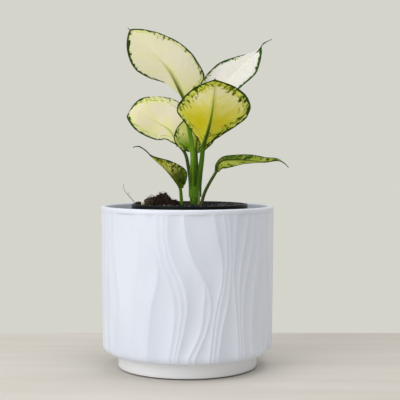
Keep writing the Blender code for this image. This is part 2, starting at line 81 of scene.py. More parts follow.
POT_HEIGHT = 140.0
POT_TOP_RADIUS = 75.0
POT_LOW_RADIUS = 73.5
POT_CORNER = 5.0
FOOT_RADIUS = 60.5
FOOT_HEIGHT = 14.3
FOOT_ROWS = ((-7, 0.6), (-6.2, 0), (-2.6, 0), (-2.3, 0.6), (-0.9, 0.95), (-0.25, 1.15), (0, 1.6))
UNDERSIDE = 0.6                 # the rows above are its ring: out from FOOT_RADIUS, and height
SHADOWED_BARE_RING = (0.0009, 0.0014)    # metres up: a bare ring, painted dark as contact shadow
FOOT_PAINTED_LIGHT = (0.0132, 0.0146)   # metres up, where the foot's painted light ends
LIP_WALL = 4.6
LIP_CORNER = 1.7
CORNER_STEPS = 8
WALL = 5.0
WALL_ROWS = 62
FLOOR = 7.0
FLUTE_SHARES = (0.095, 0.06)    # depth of a flute over its width, at these heights
FLUTE_HEIGHTS = (45, 120)
FLUTE_DEEPEST = 1.9
FLUTE_STEP = 0.8                # degrees of a flute for each column of points
RELIEF_REPEATS = 3
RELIEF_TURN = 360 / RELIEF_REPEATS
RIDGE_HEIGHTS = (136, 116, 98, 80, 62, 44, 20)
RIDGES = (
    (-53, -54, -53, -50, -48, -50, -54),
    (-31.3, -31, -32.2, -34.8, -36, -36.5, -36.6),
    (-27.4, -24.1, -18.1, -18.9, -22.7, -24.7, -26.1),
    (-18.6, -18.2, -15.8, -10.3, -7.2, -7.9, -11.2),
    (-14.6, -13.8, -11.4, -5.7, -3, -4.2, -7.8),
    (-11.5, -11.7, -8, -1.8, 0.5, -1.5, -6),
    (-1.7, 0.1, 4.7, 11.5, 10.9, 9.4, 1.2),
    (-1.7, 0.1, 4.7, 12.3, 15.6, 13.2, 5.2),
    (17.2, 20.1, 23, 22.8, 19.3, 16.8, 14.9),
    (24, 26, 26.1, 24.7, 21.9, 19.6, 17.5),
    (27.4, 28.6, 29.4, 28.5, 26.9, 23.3, 20.5),
    (32.8, 32.4, 31.2, 31.4, 32.7, 34.4, 35.6),
    (43, 40.3, 37.4, 35.7, 35.8, 36.4, 37.6),
    (48, 47.5, 44.4, 40.6, 38.6, 38.7, 40.3),
    (53, 53.4, 52.9, 49.6, 47.7, 47.2, 48.4),
    (58.1, 58.8, 59.2, 59.3, 58.9, 58.1, 59.5),
)

NURSERY_MIDDLE = (2.0, 0.0)
NURSERY_RIM_RADIUS = 50.5
NURSERY_BASE_RADIUS = 36.0
NURSERY_TOP = 141.5
NURSERY_BOTTOM = 7.3
NURSERY_WALL = 1.2
NURSERY_LIP_HEIGHT = 8.0
NURSERY_LIP_OUT = 1.6
NURSERY_SIDES = 144
DRAIN_RADIUS = 4.0
DRAIN_CIRCLE = 22.0
DUSTY_LIP = (0.1405, 0.1416)    # metres up, where dust starts to lie on its lip

SOIL_LEVEL = 140.0
SOIL_ROUGHNESS = 0.8
SOIL_RINGS, SOIL_SIDES = 74, 200
CRUMBS = 1700
CRUMBS_REACH = 48
DRY_FROM = 26                   # right of this x more of the crumbs are dry, and they are larger
DRY_SHARES = (0.19, 0.35)       # of the crumbs left and right of it
CLUMP_MIDDLE = (-22.5, 4.0)
CLUMP_HALF = (15.5, 11.0)
CLUMP_LOBES = ((-21.6, 4, 8, 9.5, 9.3), (-30, 3, 8, 8, 6), (-12.5, 3, 6.5, 6, 3.6))
CLUMP_RINGS, CLUMP_SIDES = 34, 90
FIBRES = 430
FIBRE_STEPS = 7
FIBRES_REACH = 14               # no fibre stands higher than this above the soil
STRAY_SHARE = 0.16              # of the fibres, that stick up
CLUMP_CRUMBS = 150
CHIPS = (                       # piece, node, slot, size, turn and seed
    ("bark_flake_1", "bark_chip_1", "bark", (8, 3.4, 6.4), 0.3, 1.0),
    ("bark_flake_2", "bark_chip_2", "bark", (5.6, 3.5, 3.2), 0.4, 2.0),
    ("perlite_grain_1", "perlite_1", "perlite", (4, 3.6, 4.0), 0.0, 3.0),
)
DRY_ROOT = ((-44.3, 0, 140.2), (-46.4, 0, 143.2), (-48.9, 0, 146), (-51.3, 0, 148.8),
            (-54.1, 0, 152.1), (-55.4, 0, 158.6))
DRY_ROOT_STEPS = 26

STEM_XY = (6.4, 0.0)
STEM_RADIUS = 4.3
CROWN_RADIUS = 4.9
STEM_BOTTOM = 118.0
CROWN_HEIGHT = 156.0
STEM_ROWS, STEM_SIDES = 40, 72
STALK_ROWS, STALK_SIDES = 64, 22
SHEATH_HEIGHT = 13
SHEATH_ROWS, SHEATH_COLUMNS = 22, 9
SHEET = 0.24                    # half of a blade's thickness
TAIL_HALF_WIDTH = 0.8
FOLD_ROOM = 2.5                 # how far from the midrib the sheet takes to turn to its fold
MARGIN_WAVES = 2.5
BLADE_ROWS = 84
RIB_COLUMNS = (0.3, 0.58, 0.8, 0.94, 1.0, 1.25, 1.7, 2.4)   # in half widths of the midrib
OUTER_COLUMNS = 15
VEIN_SPACING = 8.0
VEIN_SWEEP = 0.75
VEIN_CURVE = 0.012
FLECK_LEVEL = 0.98              # the noise that makes a fleck, reached sooner where they lie thick
FLECK_SPREAD = 0.5


@dataclass
class Leaf:
    """One leaf: a stalk, and a blade along its midrib. Left and right are as seen along
    the midrib with the upper side up. Folds lift a half towards the upper side."""
    name: str
    stalk: tuple
    stalk_radii: tuple
    midrib: tuple
    half_width: tuple           # of the left half and the right
    faces: tuple                # where the upper side looks, at the base and at the tip
    left_fold: tuple            # degrees, at the base and at the tip
    right_fold: tuple
    widest: tuple               # share of the length
    base: float                 # below 1 the base is rounded, and above 1 it narrows to a point
    taper: tuple                # above 1 the blade narrows early
    tail: float = 0.03          # share of the length that is a thin tip
    lobe: float = 4.0           # how far the base reaches back beside the stalk
    wave: float = 0.8           # height of the margin's waves


LEAVES = (
    Leaf("upper_left",
         ((3.9, -1.8, 156.3), (4.4, -2.8, 170), (4.8, -3, 181), (4, -2, 192), (1.9, -1, 204.5),
          (-1.3, 1, 221)),
         (2.45, 1.7),
         ((-2.8, 2, 229), (-7.6, 2, 240), (-15.5, 4, 256), (-31.5, 8, 275), (-52.4, 13, 295)),
         (27.3, 28.4), ((0.3, 0.9, 0.25), (0.2, 0.95, 0.2)),
         left_fold=(41, 21), right_fold=(64, -1), widest=(0.22, 0.6), base=1.22, taper=(0.76, 0.64),
         lobe=3.1),
    Leaf("upper_right",
         ((10.6, 2.9, 156.3), (11.5, 2.5, 167), (13, 1.5, 180), (14, 3, 201)),
         (1.8, 1.4),
         ((14, 6, 225), (25, 9, 239), (39, 14, 254), (54.5, 19, 268.8), (61, 21, 274.6),
          (67.5, 22, 282.3), (75, 22, 286)),
         (19, 21.8), ((-0.35, -0.75, 0.5), (-0.3, -0.8, 0.5)),
         left_fold=(12, 10), right_fold=(12, 10), widest=(0.36, 0.5), base=0.57, taper=(1.75, 1.06),
         tail=0.12),
    Leaf("front",
         ((9.0, -1.8, 156.3), (9.6, -2.4, 163), (10.8, -3.2, 170), (12.2, -4.2, 178)),
         (2.3, 1.9),
         ((14, -8, 191), (17.8, -13, 204), (20.3, -20, 215), (23, -33, 237), (23.2, -50, 246.5)),
         (32.8, 30.5), ((0.05, 0.95, 0.3), (0, 0.8, 0.6)),
         left_fold=(14, 8), right_fold=(14, 8), widest=(0.52, 0.38), base=1.44, taper=(1.36, 1.13)),
    Leaf("left",
         ((2.9, 3.0, 156.3), (2.4, 4.2, 163), (0.9, 6.5, 173), (-2.6, 12, 186)),
         (1.8, 1.3),
         ((-8, 15, 193), (-16.5, 20, 206), (-26, 27, 212), (-48.5, 37.5, 223), (-56.1, 56, 219.9)),
         (16.2, 25.6), ((-0.2, -0.95, 0.15), (-0.3, -0.5, 0.8)),
         left_fold=(-32, -25), right_fold=(-4, 30), widest=(0.51, 0.33), base=0.8,
         taper=(1.0, 1.15), lobe=1.0),
    Leaf("low_left",
         ((-4.6, -6, 128), (-4.6, -6, 141), (-5.2, -6, 148)),
         (1.9, 1.4),
         ((-6, -7, 155), (-10, -9, 161), (-19, -13, 172), (-30, -17, 182), (-36, -19, 188),
          (-42, -20, 191), (-46, -20, 190)),
         (13.6, 11.5), ((0.5, 0.1, 0.85), (0.5, 0.1, 0.85)),
         left_fold=(60, 50), right_fold=(60, 50), widest=(0.22, 0.2), base=0.75, taper=(2.1, 1.5),
         tail=0.22, lobe=2.0, wave=0.4),
    Leaf("low_right",
         ((12.2, -5.2, 128), (12.2, -5, 140), (14.6, -4, 150), (20, -4, 161)),
         (1.5, 1.3),
         ((25.1, -4, 169.9), (26.8, -5, 175.1), (30.4, -6, 178.4), (39.4, -8, 179.4),
          (50, -10, 179), (64.9, -12, 177.4), (80.9, -14, 177.9), (86.6, -15, 172.9)),
         (6.6, 10.7), ((-0.6, -0.6, 0.5), (0.1, -0.4, 0.9)),
         left_fold=(10, 26), right_fold=(-8, 54), widest=(0.54, 0.28), base=0.7, taper=(0.63, 1.89),
         tail=0.11, lobe=4.9, wave=0.4),
    Leaf("back",
         ((6.8, 3.7, 156.3), (7.4, 4.4, 164), (8, 5, 174)),
         (1.7, 1.4),
         ((7.6, 6, 186), (8.4, 7, 197), (12, 10, 213), (23, 22, 232)),
         (20.9, 20.5), ((0.35, -0.7, 0.6), (0.1, -0.5, 0.85)),
         left_fold=(-7, 6), right_fold=(-35, -17), widest=(0.2, 0.27), base=0.44, taper=(2.2, 1.0),
         lobe=0.5),
)
PLANTED = ("low_left", "low_right")
STALK_SHADES = {                # how dark each stalk is, and how brown low down
    "upper_left": (0, 0), "upper_right": (0.4, 0), "front": (0.45, 0), "left": (0.85, 0),
    "low_left": (0.1, 0.2), "low_right": (0.6, 0.8), "back": (0.4, 0),
}


def both(*pairs):
    """The same pairs for the left half and the right."""
    return pairs, pairs


@dataclass
class Look:
    """How one leaf is coloured. What changes along the blade is given for the left half and
    the right, as (share of the length, value) pairs. The flecks are green with dark middles."""
    centre: tuple
    streak: tuple               # the tone of the streaks along its veins
    base: tuple
    band: tuple                 # inside the margin and beside the midrib
    dark: tuple
    edge: tuple                 # millimetres of green margin
    flecks: tuple               # how thick the flecks lie near the margin
    green: tuple
    fleck_reach: float          # millimetres that they reach in from the margin
    band_width: float           # millimetres of the band
    line: tuple                 # a broken line inside the margin: millimetres in, and strength
    rib: float                  # share of the length that the midrib is coloured
    fleck_size: float = 1.0
    bases: tuple = both((0, 1), (0.35, 0))
    rib_colour: tuple = (0.13, 0.19, 0.015)
    rib_width: float = 0.3      # millimetres of half its width, at least
    halo: float = 0.8           # strength of the band's colour beside the midrib


LOOKS = {
    "upper_left": Look(
        (0.77, 0.73, 0.53), (0.77, 0.74, 0.46), (0.78, 0.74, 0.42), (0.72, 0.75, 0.24),
        (0.021, 0.044, 0.0002),
        (((0, 0.5), (0.2, 0.8), (1, 0.8)),
         ((0, 0), (0.3, 0), (0.36, 1.1), (0.6, 1.3), (0.8, 1.8), (1, 1.5))),
        (((0, 0.3), (0.15, 0.9), (0.35, 0.8), (0.5, 0.5), (0.7, 0.8), (1, 0.4)),
         ((0, 0), (0.35, 0.15), (0.6, 0.4), (0.7, 0.5), (1, 0.3))),
        green=(0.24, 0.27, 0.03), fleck_reach=7, band_width=3.0, line=(2.5, 0.5),
        rib=0.50, rib_colour=(0.095, 0.125, 0.001), rib_width=1.6, halo=0.6),
    "upper_right": Look(
        (0.74, 0.72, 0.655), (0.76, 0.75, 0.64), (0.72, 0.76, 0.54), (0.60, 0.71, 0.28),
        (0.014, 0.050, 0.002),
        (((0, 0.7), (0.3, 0.8), (0.5, 1.2), (0.66, 0.9), (0.72, 0), (0.86, 0), (0.93, 1), (1, 1)),
         ((0, 1.2), (0.5, 1.5), (0.75, 1.8), (0.9, 2), (1, 1.4))),
        (((0, 0.5), (0.2, 0.95), (0.5, 0.9), (0.62, 0.4), (0.7, 0), (1, 0)),
         ((0, 0.3), (0.4, 0.4), (0.55, 0.7), (0.9, 0.6), (1, 0.3))),
        green=(0.12, 0.20, 0.03), fleck_reach=5, band_width=2.0, line=(2.5, 0.4),
        rib=0.2, halo=0.3),
    "front": Look(
        (0.87, 0.81, 0.51), (0.75, 0.70, 0.22), (0.58, 0.49, 0.005), (0.50, 0.56, 0.05),
        (0.021, 0.044, 0.0002),
        both((0, 0.7), (0.2, 1), (1, 1.1)),
        (((0, 0.3), (0.25, 1.1), (0.7, 1.15), (1, 0.8)),
         ((0, 0.1), (0.15, 0.3), (0.35, 0.8), (0.6, 1.15), (1, 0.8))),
        green=(0.17, 0.205, 0.01), fleck_reach=14, fleck_size=1.05, band_width=6, line=(4.5, 1.0),
        bases=both((0, 1), (0.35, 0.9), (0.7, 0)),
        rib=0.75, rib_colour=(0.035, 0.085, 0.001), rib_width=0.95),
    "left": Look(
        (0.79, 0.715, 0.54), (0.78, 0.73, 0.38), (0.79, 0.74, 0.43), (0.73, 0.80, 0.22),
        (0.016, 0.050, 0.0002),
        (((0, 0.8), (0.2, 0.9), (0.4, 0.8), (0.6, 1.2), (0.75, 2), (0.88, 3), (1, 3.2)),
         ((0, 0.4), (0.5, 0.4), (0.58, 0), (0.64, 0), (0.7, 1.6), (0.78, 2.6), (0.88, 3.2),
          (1, 3.2))),
        (((0, 0.3), (0.4, 0.35), (0.7, 0.6), (1, 1)),
         ((0, 0.1), (0.35, 0.3), (0.5, 0.6), (0.7, 0.8), (1, 1.1))),
        green=(0.26, 0.30, 0.04), fleck_reach=8, band_width=5.5, line=(4.0, 1.3),
        rib=0.45, rib_colour=(0.40, 0.42, 0.09), halo=0.5),
    "low_left": Look(
        (0.57, 0.57, 0.15), (0.40, 0.42, 0.02), (0.006, 0.036, 0.003), (0.34, 0.37, 0.01),
        (0.012, 0.036, 0.002),
        both((0, 0.5), (1, 0.7)), both((0, 1.3), (0.4, 1.15), (0.65, 0.7), (1, 0.6)),
        green=(0.030, 0.075, 0.002), fleck_reach=14, fleck_size=0.7, band_width=0.8,
        line=(2.0, 0.5), bases=both((0, 1), (0.22, 1), (0.34, 0)),
        rib=0.5, rib_colour=(0.06, 0.10, 0.01), halo=0.2),
    "low_right": Look(
        (0.355, 0.395, 0.07), (0.22, 0.28, 0.01), (0.016, 0.055, 0.001), (0.32, 0.37, 0.01),
        (0.012, 0.036, 0.001),
        (((0, 0.7), (1, 0.6)), ((0, 0.8), (1, 0.7))),
        (((0, 1.2), (0.3, 1.2), (0.6, 1), (1, 0.6)), ((0, 0.9), (0.3, 0.7), (1, 0.8))),
        green=(0.060, 0.130, 0.002), fleck_reach=12, band_width=0.8, line=(1.8, 0.4),
        bases=(((0, 1), (0.28, 1), (0.42, 0.25), (0.75, 0)), ((0, 0.5), (0.15, 0), (1, 0))),
        rib=1.6, rib_colour=(0.030, 0.060, 0.003), rib_width=0.6, halo=0.3),
    "back": Look(
        (0.66, 0.66, 0.29), (0.58, 0.62, 0.15), (0.11, 0.24, 0.002), (0.44, 0.52, 0.08),
        (0.020, 0.050, 0.004),
        (((0, 0.6), (1, 0.9)), ((0, 0.7), (1, 1))),
        (((0, 1.3), (0.25, 1.2), (0.4, 0.2), (1, 0.3)), ((0, 1.2), (0.3, 1), (0.5, 0.3), (1, 0.5))),
        green=(0.055, 0.12, 0.002), fleck_reach=9, band_width=2.0, line=(2.5, 0.5),
        bases=both((0, 1), (0.12, 0.95), (0.3, 0)), rib=0.6),
}


# ---------------------------------------------------------------- helpers

def piece_from(name, points, faces, material, replaced=(), sharp_above=None, values=None,
               maps=None):
    """A piece on the body root, from points in millimetres, with values and maps at its points."""
    mesh = bpy.data.meshes.new(name)
    mesh.from_pydata((np.asarray(points, float) * MM).tolist(), [], faces)
    for title, numbers in (values or {}).items():
        layer = mesh.attributes.new(title, "FLOAT", "POINT")
        layer.data.foreach_set("value", np.asarray(numbers, float))
    corners = np.empty(len(mesh.loops), int)
    mesh.loops.foreach_get("vertex_index", corners)
    for title, pairs in (maps or {}).items():
        layer = mesh.uv_layers.new(name=title)
        layer.data.foreach_set("uv", np.asarray(pairs, float)[corners].ravel())
    mesh.materials.append(material)
    mesh.shade_smooth()
    if sharp_above is not None:
        mesh.set_sharp_from_angle(angle=math.radians(sharp_above))
    made = bpy.data.objects.new(name, mesh)
    bpy.context.scene.collection.objects.link(made)
    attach(made, "root")
    if replaced:
        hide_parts(*replaced)
    return made


def around(middle, radius, turn):
    """The x and y of a place at a turn around a middle."""
    return middle[0] + radius * math.cos(turn), middle[1] + radius * math.sin(turn)


def circle(sides):
    """Equal turns, once round."""
    return 2 * math.pi * np.arange(sides) / sides


def ring_faces(rings, sides):
    """Faces between rings of points."""
    return [(low + side, low + (side + 1) % sides, low + sides + (side + 1) % sides,
             low + sides + side)
            for low in range(0, (rings - 1) * sides, sides) for side in range(sides)]


def tube_faces(rings, sides):
    """Faces between rings of points, with both ends closed."""
    last = (rings - 1) * sides
    return ring_faces(rings, sides) + [tuple(reversed(range(sides))),
                                       tuple(range(last, last + sides))]


def disc(rings, sides):
    """Places from the edge of a disc of radius 1 in to its middle, and the faces on them."""
    places = [around((0, 0), 1 - ring / rings, turn)
              for ring in range(rings) for turn in circle(sides)]
    middle, last = rings * sides, (rings - 1) * sides
    fan = [(last + side, last + (side + 1) % sides, middle) for side in range(sides)]
    return places + [(0.0, 0.0)], ring_faces(rings, sides) + fan


def hermite(knots, values, slopes, at):
    """Smooth values at the given places, from values and slopes at the knots."""
    at = np.clip(np.atleast_1d(np.asarray(at, float)), knots[0], knots[-1])
    span = np.clip(np.searchsorted(knots, at, side="right") - 1, 0, len(knots) - 2)
    shape = (-1,) + (1,) * (values.ndim - 1)
    length = (knots[span + 1] - knots[span]).reshape(shape)
    share = (at - knots[span]).reshape(shape) / length
    return ((1 + 2 * share) * (1 - share) ** 2 * values[span]
            + share * (1 - share) ** 2 * length * slopes[span]
            + share ** 2 * (3 - 2 * share) * values[span + 1]
            + share ** 2 * (share - 1) * length * slopes[span + 1])


class SmoothPath:
    """A smooth curve through a few points, measured by its length."""

    def __init__(self, route):
        self.route = np.array(route, float)
        steps = np.linalg.norm(np.diff(self.route, axis=0), axis=1)
        self.knots = np.append(0, np.cumsum(steps))
        self.slopes = np.gradient(self.route, self.knots, axis=0, edge_order=2)
        self.fine = np.linspace(0, self.knots[-1], 600)
        steps = np.linalg.norm(np.diff(self.curve(self.fine), axis=0), axis=1)
        self.run = np.append(0, np.cumsum(steps))
        self.length = self.run[-1]

    def curve(self, at):
        return hermite(self.knots, self.route, self.slopes, at)

    def length_to(self, index):
        """Length from the start to one of the points."""
        return np.interp(self.knots[index], self.fine, self.run)

    def at(self, lengths):
        """Points at lengths along the curve, and the curve's directions there."""
        place = np.interp(lengths, self.run, self.fine)
        step = self.knots[-1] / 500
        ahead = self.curve(np.minimum(place + step, self.knots[-1]))
        behind = self.curve(np.maximum(place - step, 0))
        directions = (ahead - behind) / np.linalg.norm(ahead - behind, axis=1)[:, None]
        return self.curve(place), directions


def tube_shape(points, radii, sides, start=(0, 1, 0)):
    """Points and faces of a closed tube along a line of points."""
    points = np.asarray(points, float)
    steps = np.gradient(points, axis=0)
    forward = steps / np.linalg.norm(steps, axis=1)[:, None]
    across = np.array(start, float)
    if abs(across.dot(forward[0])) > 0.9:
        across = np.array((1.0, 0, 0))
    turns = circle(sides)[:, None]
    rings = []
    for middle, ahead, radius in zip(points, forward, radii):
        across = across - ahead * across.dot(ahead)
        across /= np.linalg.norm(across)
        other = np.cross(ahead, across)
        rings.append(middle + radius * (np.cos(turns) * across + np.sin(turns) * other))
    return np.concatenate(rings), tube_faces(len(points), sides)


class Heap:
    """Many small closed shapes that make one piece."""

    def __init__(self):
        self.points, self.faces, self.tints = [], [], []

    def add(self, points, faces, tint):
        count = len(self.tints)
        self.faces += [tuple(count + corner for corner in face) for face in faces]
        self.points.append(np.asarray(points, float))
        self.tints += [tint] * len(points)

    def piece(self, name, material, replaced=(), sharp_above=None):
        return piece_from(name, np.concatenate(self.points), self.faces, material,
                          replaced, sharp_above, {"tint": self.tints})


def rough(x, y, z, octaves=3):
    """Smooth noise from about -1 to 1."""
    return noise.fractal(Vector((x, y, z)), 0.8, 2.1, octaves)


# ---------------------------------------------------------------- materials

class Nodes:
    """A node tree built with short calls. Inputs are numbers, colours or sockets."""

    def __init__(self, tree):
        self.tree = tree

    def put(self, socket, value):
        if isinstance(value, bpy.types.NodeSocket):
            self.tree.links.new(value, socket)
        elif socket.type == "RGBA" and len(value) == 3:
            socket.default_value = (*value, 1)
        else:
            socket.default_value = value

    def node(self, kind, *inputs, **settings):
        made = self.tree.nodes.new("ShaderNode" + kind)
        for title, value in settings.items():
            setattr(made, title, value)
        for index, value in inputs:
            self.put(made.inputs[index], value)
        return made

    def math(self, operation, first, second=0.0, clamp=False):
        return self.node("Math", (0, first), (1, second), operation=operation,
                         use_clamp=clamp).outputs[0]

    def plus(self, first, second, clamp=False):
        return self.math("ADD", first, second, clamp)

    def less(self, first, second):
        return self.math("SUBTRACT", first, second)

    def times(self, first, second, clamp=False):
        return self.math("MULTIPLY", first, second, clamp)

    def background_rays(self):
        """1 for a ray that shows the background, plainly or in a reflection, and 0 for light."""
        path = self.node("LightPath").outputs
        seen = self.plus(path["Is Camera Ray"], path["Is Glossy Ray"], True)
        return self.plus(seen, path["Is Transmission Ray"], True)


class Surface(Nodes):
    """A material, built up to its Principled BSDF."""

    def __init__(self, name, roughness=0.5, **settings):
        self.material = bpy.data.materials.new(name)
        self.material.use_nodes = True
        super().__init__(self.material.node_tree)
        self.shader = self.tree.nodes["Principled BSDF"]
        self.shader.inputs["Roughness"].default_value = roughness
        for title, value in settings.items():
            self.shader.inputs[title.replace("_", " ")].default_value = value

    def place(self, *stretch):
        """Where a point is, in metres, stretched along each axis."""
        where = self.node("TexCoord").outputs["Object"]
        return self.stretched(where, stretch) if stretch else where

    def coordinate(self, axis):
        """One of a point's coordinates, in metres."""
        return self.node("SeparateXYZ", (0, self.place())).outputs[axis]

    def stretched(self, vector, stretch):
        return self.node("Mapping", ("Vector", vector), ("Scale", stretch)).outputs[0]

    def mapped(self, title):
        return self.node("UVMap", uv_map=title).outputs[0]

    def value(self, title):
        return self.node("Attribute", attribute_name=title).outputs["Fac"]

    def noise(self, vector, scale, detail=3.0, roughness=0.5, distortion=0.0):
        return self.node("TexNoise", ("Vector", vector), ("Scale", scale), ("Detail", detail),
                         ("Roughness", roughness), ("Distortion", distortion)).outputs[0]

    def grain(self, vector, across, along, *settings):
        """Noise on a map that has 1 for each 100 mm, with a scale across it and one along it."""
        return self.noise(self.stretched(vector, (across, along, 1)), 1.0, *settings)

    def step(self, value, low, high, at_low=0.0, at_high=1.0):
        """From at_low to at_high, smoothly, as value goes from low to high."""
        return self.node("MapRange", ("Value", value), ("From Min", low), ("From Max", high),
                         ("To Min", at_low), ("To Max", at_high),
                         interpolation_type="SMOOTHSTEP").outputs[0]

    def blend(self, share, first, second):
        mixer = self.node("Mix", (0, share), data_type="RGBA")
        self.put(mixer.inputs[6], first)
        self.put(mixer.inputs[7], second)
        return mixer.outputs[2]

    def shift(self, first, second, value, low, high, most=1.0):
        """From the first colour towards the second, as value goes from low to high."""
        return self.blend(self.step(value, low, high, 0, most), first, second)

    def colour(self, value):
        self.put(self.shader.inputs["Base Color"], value)

    def gloss(self, value):
        self.put(self.shader.inputs["Roughness"], value)

    def bump(self, height, distance, under=None):
        made = self.node("Bump", ("Height", height), ("Distance", distance))
        if under is not None:
            self.put(made.inputs["Normal"], under)
        self.put(self.shader.inputs["Normal"], made.outputs[0])
        return made.outputs[0]


def glaze_material():
    """Satin white glaze with a faint blue cast, a little uneven where it pooled."""
    s = Surface("satin_white_glaze", Coat_Weight=0.25, Coat_Roughness=0.12)
    pooled = s.noise(s.place(1, 1, 0.45), 28)
    base = s.shift((0.715, 0.765, 0.88), (0.77, 0.82, 0.93), pooled, 0.3, 0.72)
    base = s.shift(base, (0.62, 0.61, 0.58), s.noise(s.place(), 900, 1), 0.74, 0.80, 0.35)
    height = s.coordinate(2)
    # The foot is painted lighter: painted light against the shade under the body
    foot = (0.85, 0.86, 0.89)
    base = s.shift(foot, base, height, *FOOT_PAINTED_LIGHT)
    # The bare bottom ring is painted dark: painted contact shadow where the foot meets the floor
    bare_ring_shadow = (0.16, 0.15, 0.14)
    s.colour(s.shift(bare_ring_shadow, base, height, *SHADOWED_BARE_RING))
    s.gloss(s.step(s.noise(s.place(), 60, 4), 0.3, 0.7, 0.30, 0.42))
    fine = s.bump(s.noise(s.place(), 420), 0.00003)
    s.bump(s.noise(s.place(1, 1, 0.5), 45, 2), 0.0003, fine)
    return s.material


def plastic_material():
    """Thin black nursery plastic, dusty on its lip, with fine scratches."""
    s = Surface("black_nursery_plastic", Specular_IOR_Level=0.05)
    dust = s.step(s.noise(s.place(), 160, 5, 0.65), 0.48, 0.72)
    dusty = s.times(dust, s.step(s.coordinate(2), *DUSTY_LIP, 0.03, 0.3))
    s.colour(s.blend(dusty, (0.005, 0.006, 0.0075), (0.041, 0.044, 0.048)))
    s.gloss(s.step(dusty, 0, 0.8, 0.33, 0.75))
    s.bump(s.noise(s.place(1, 1, 14), 90, 4, 0.7), 0.00012)
    return s.material


def soil_material():
    s = Surface("potting_mix", Specular_IOR_Level=0.06)
    grain = s.noise(s.place(), 800, 4, 0.7)
    patches = s.noise(s.place(), 95)
    moist = s.shift((0.007, 0.008, 0.0105), (0.012, 0.012, 0.014), patches, 0.4, 0.6)
    moist = s.shift(moist, (0.028, 0.029, 0.034), grain, 0.35, 0.7)
    dry = s.shift((0.076, 0.079, 0.080), (0.255, 0.26, 0.26), grain, 0.3, 0.7)
    s.colour(s.shift(moist, dry, s.value("tint"), 0.55, 0.9))
    s.gloss(s.step(s.noise(s.place(), 420, 2), 0.4, 0.6, 0.42, 0.95))
    s.bump(grain, 0.0006)
    return s.material


def coir_material():
    s = Surface("coir_fibre", 0.9, Specular_IOR_Level=0.12)
    streak = s.noise(s.place(), 700, 4, 0.7)
    dark = s.shift((0.005, 0.003, 0.003), (0.020, 0.011, 0.009), streak, 0.3, 0.7)
    light = s.shift((0.07, 0.042, 0.028), (0.15, 0.10, 0.065), streak, 0.3, 0.7)
    s.colour(s.blend(s.value("tint"), dark, light))
    s.bump(streak, 0.0005)
    return s.material


def bark_material():
    s = Surface("bark", 0.85, Specular_IOR_Level=0.3)
    grain = s.noise(s.place(0.35, 1.3, 2.2), 520, 5, 0.65)
    s.colour(s.shift((0.018, 0.013, 0.007), (0.095, 0.072, 0.038), grain, 0.32, 0.68))
    s.bump(grain, 0.0009)
    return s.material


def perlite_material():
    s = Surface("perlite", 0.9, Specular_IOR_Level=0.3)
    pits = s.node("TexVoronoi", ("Vector", s.place()), ("Scale", 1300)).outputs["Distance"]
    dust = s.noise(s.place(), 500, 4, 0.6)
    white = s.shift((0.80, 0.77, 0.66), (0.42, 0.35, 0.24), dust, 0.45, 0.7)
    s.colour(s.shift((0.30, 0.25, 0.18), white, pits, 0.0, 0.25))
    s.bump(s.step(pits, 0.0, 0.4), 0.0005)
    return s.material


def stalk_material():
    """Fleshy green stalks with long pale streaks, and painted shade where they leave the soil."""
    s = Surface("green_stalk", Specular_IOR_Level=0.15)
    along = s.mapped("blade")
    streak = s.grain(along, 9, 2.2, 3, 0.55)
    fine = s.grain(along, 60, 7, 4, 0.6)
    blotch = s.grain(along, 22, 6, 2)
    green = s.shift((0.050, 0.170, 0.001), (0.170, 0.340, 0.003), streak, 0.36, 0.64)
    green = s.shift(green, (0.060, 0.170, 0.002), fine, 0.35, 0.65, 0.3)
    green = s.shift(green, (0.26, 0.37, 0.04), blotch, 0.56, 0.68, 0.4)
    # dark: painted shade where the stalks leave the soil, with each stalk's listed darkness
    green = s.blend(s.value("dark"), green, (0.016, 0.048, 0.004))
    green = s.blend(s.value("brown"), green, (0.055, 0.052, 0.010))
    s.colour(s.blend(s.value("pale"), green, (0.42, 0.46, 0.20)))
    s.gloss(s.step(fine, 0.3, 0.7, 0.36, 0.5))
    s.bump(fine, 0.0003)
    return s.material


def scaled(colour, factor, more=0.0, most=1.0):
    return tuple(min(part * factor + more, most) for part in colour)


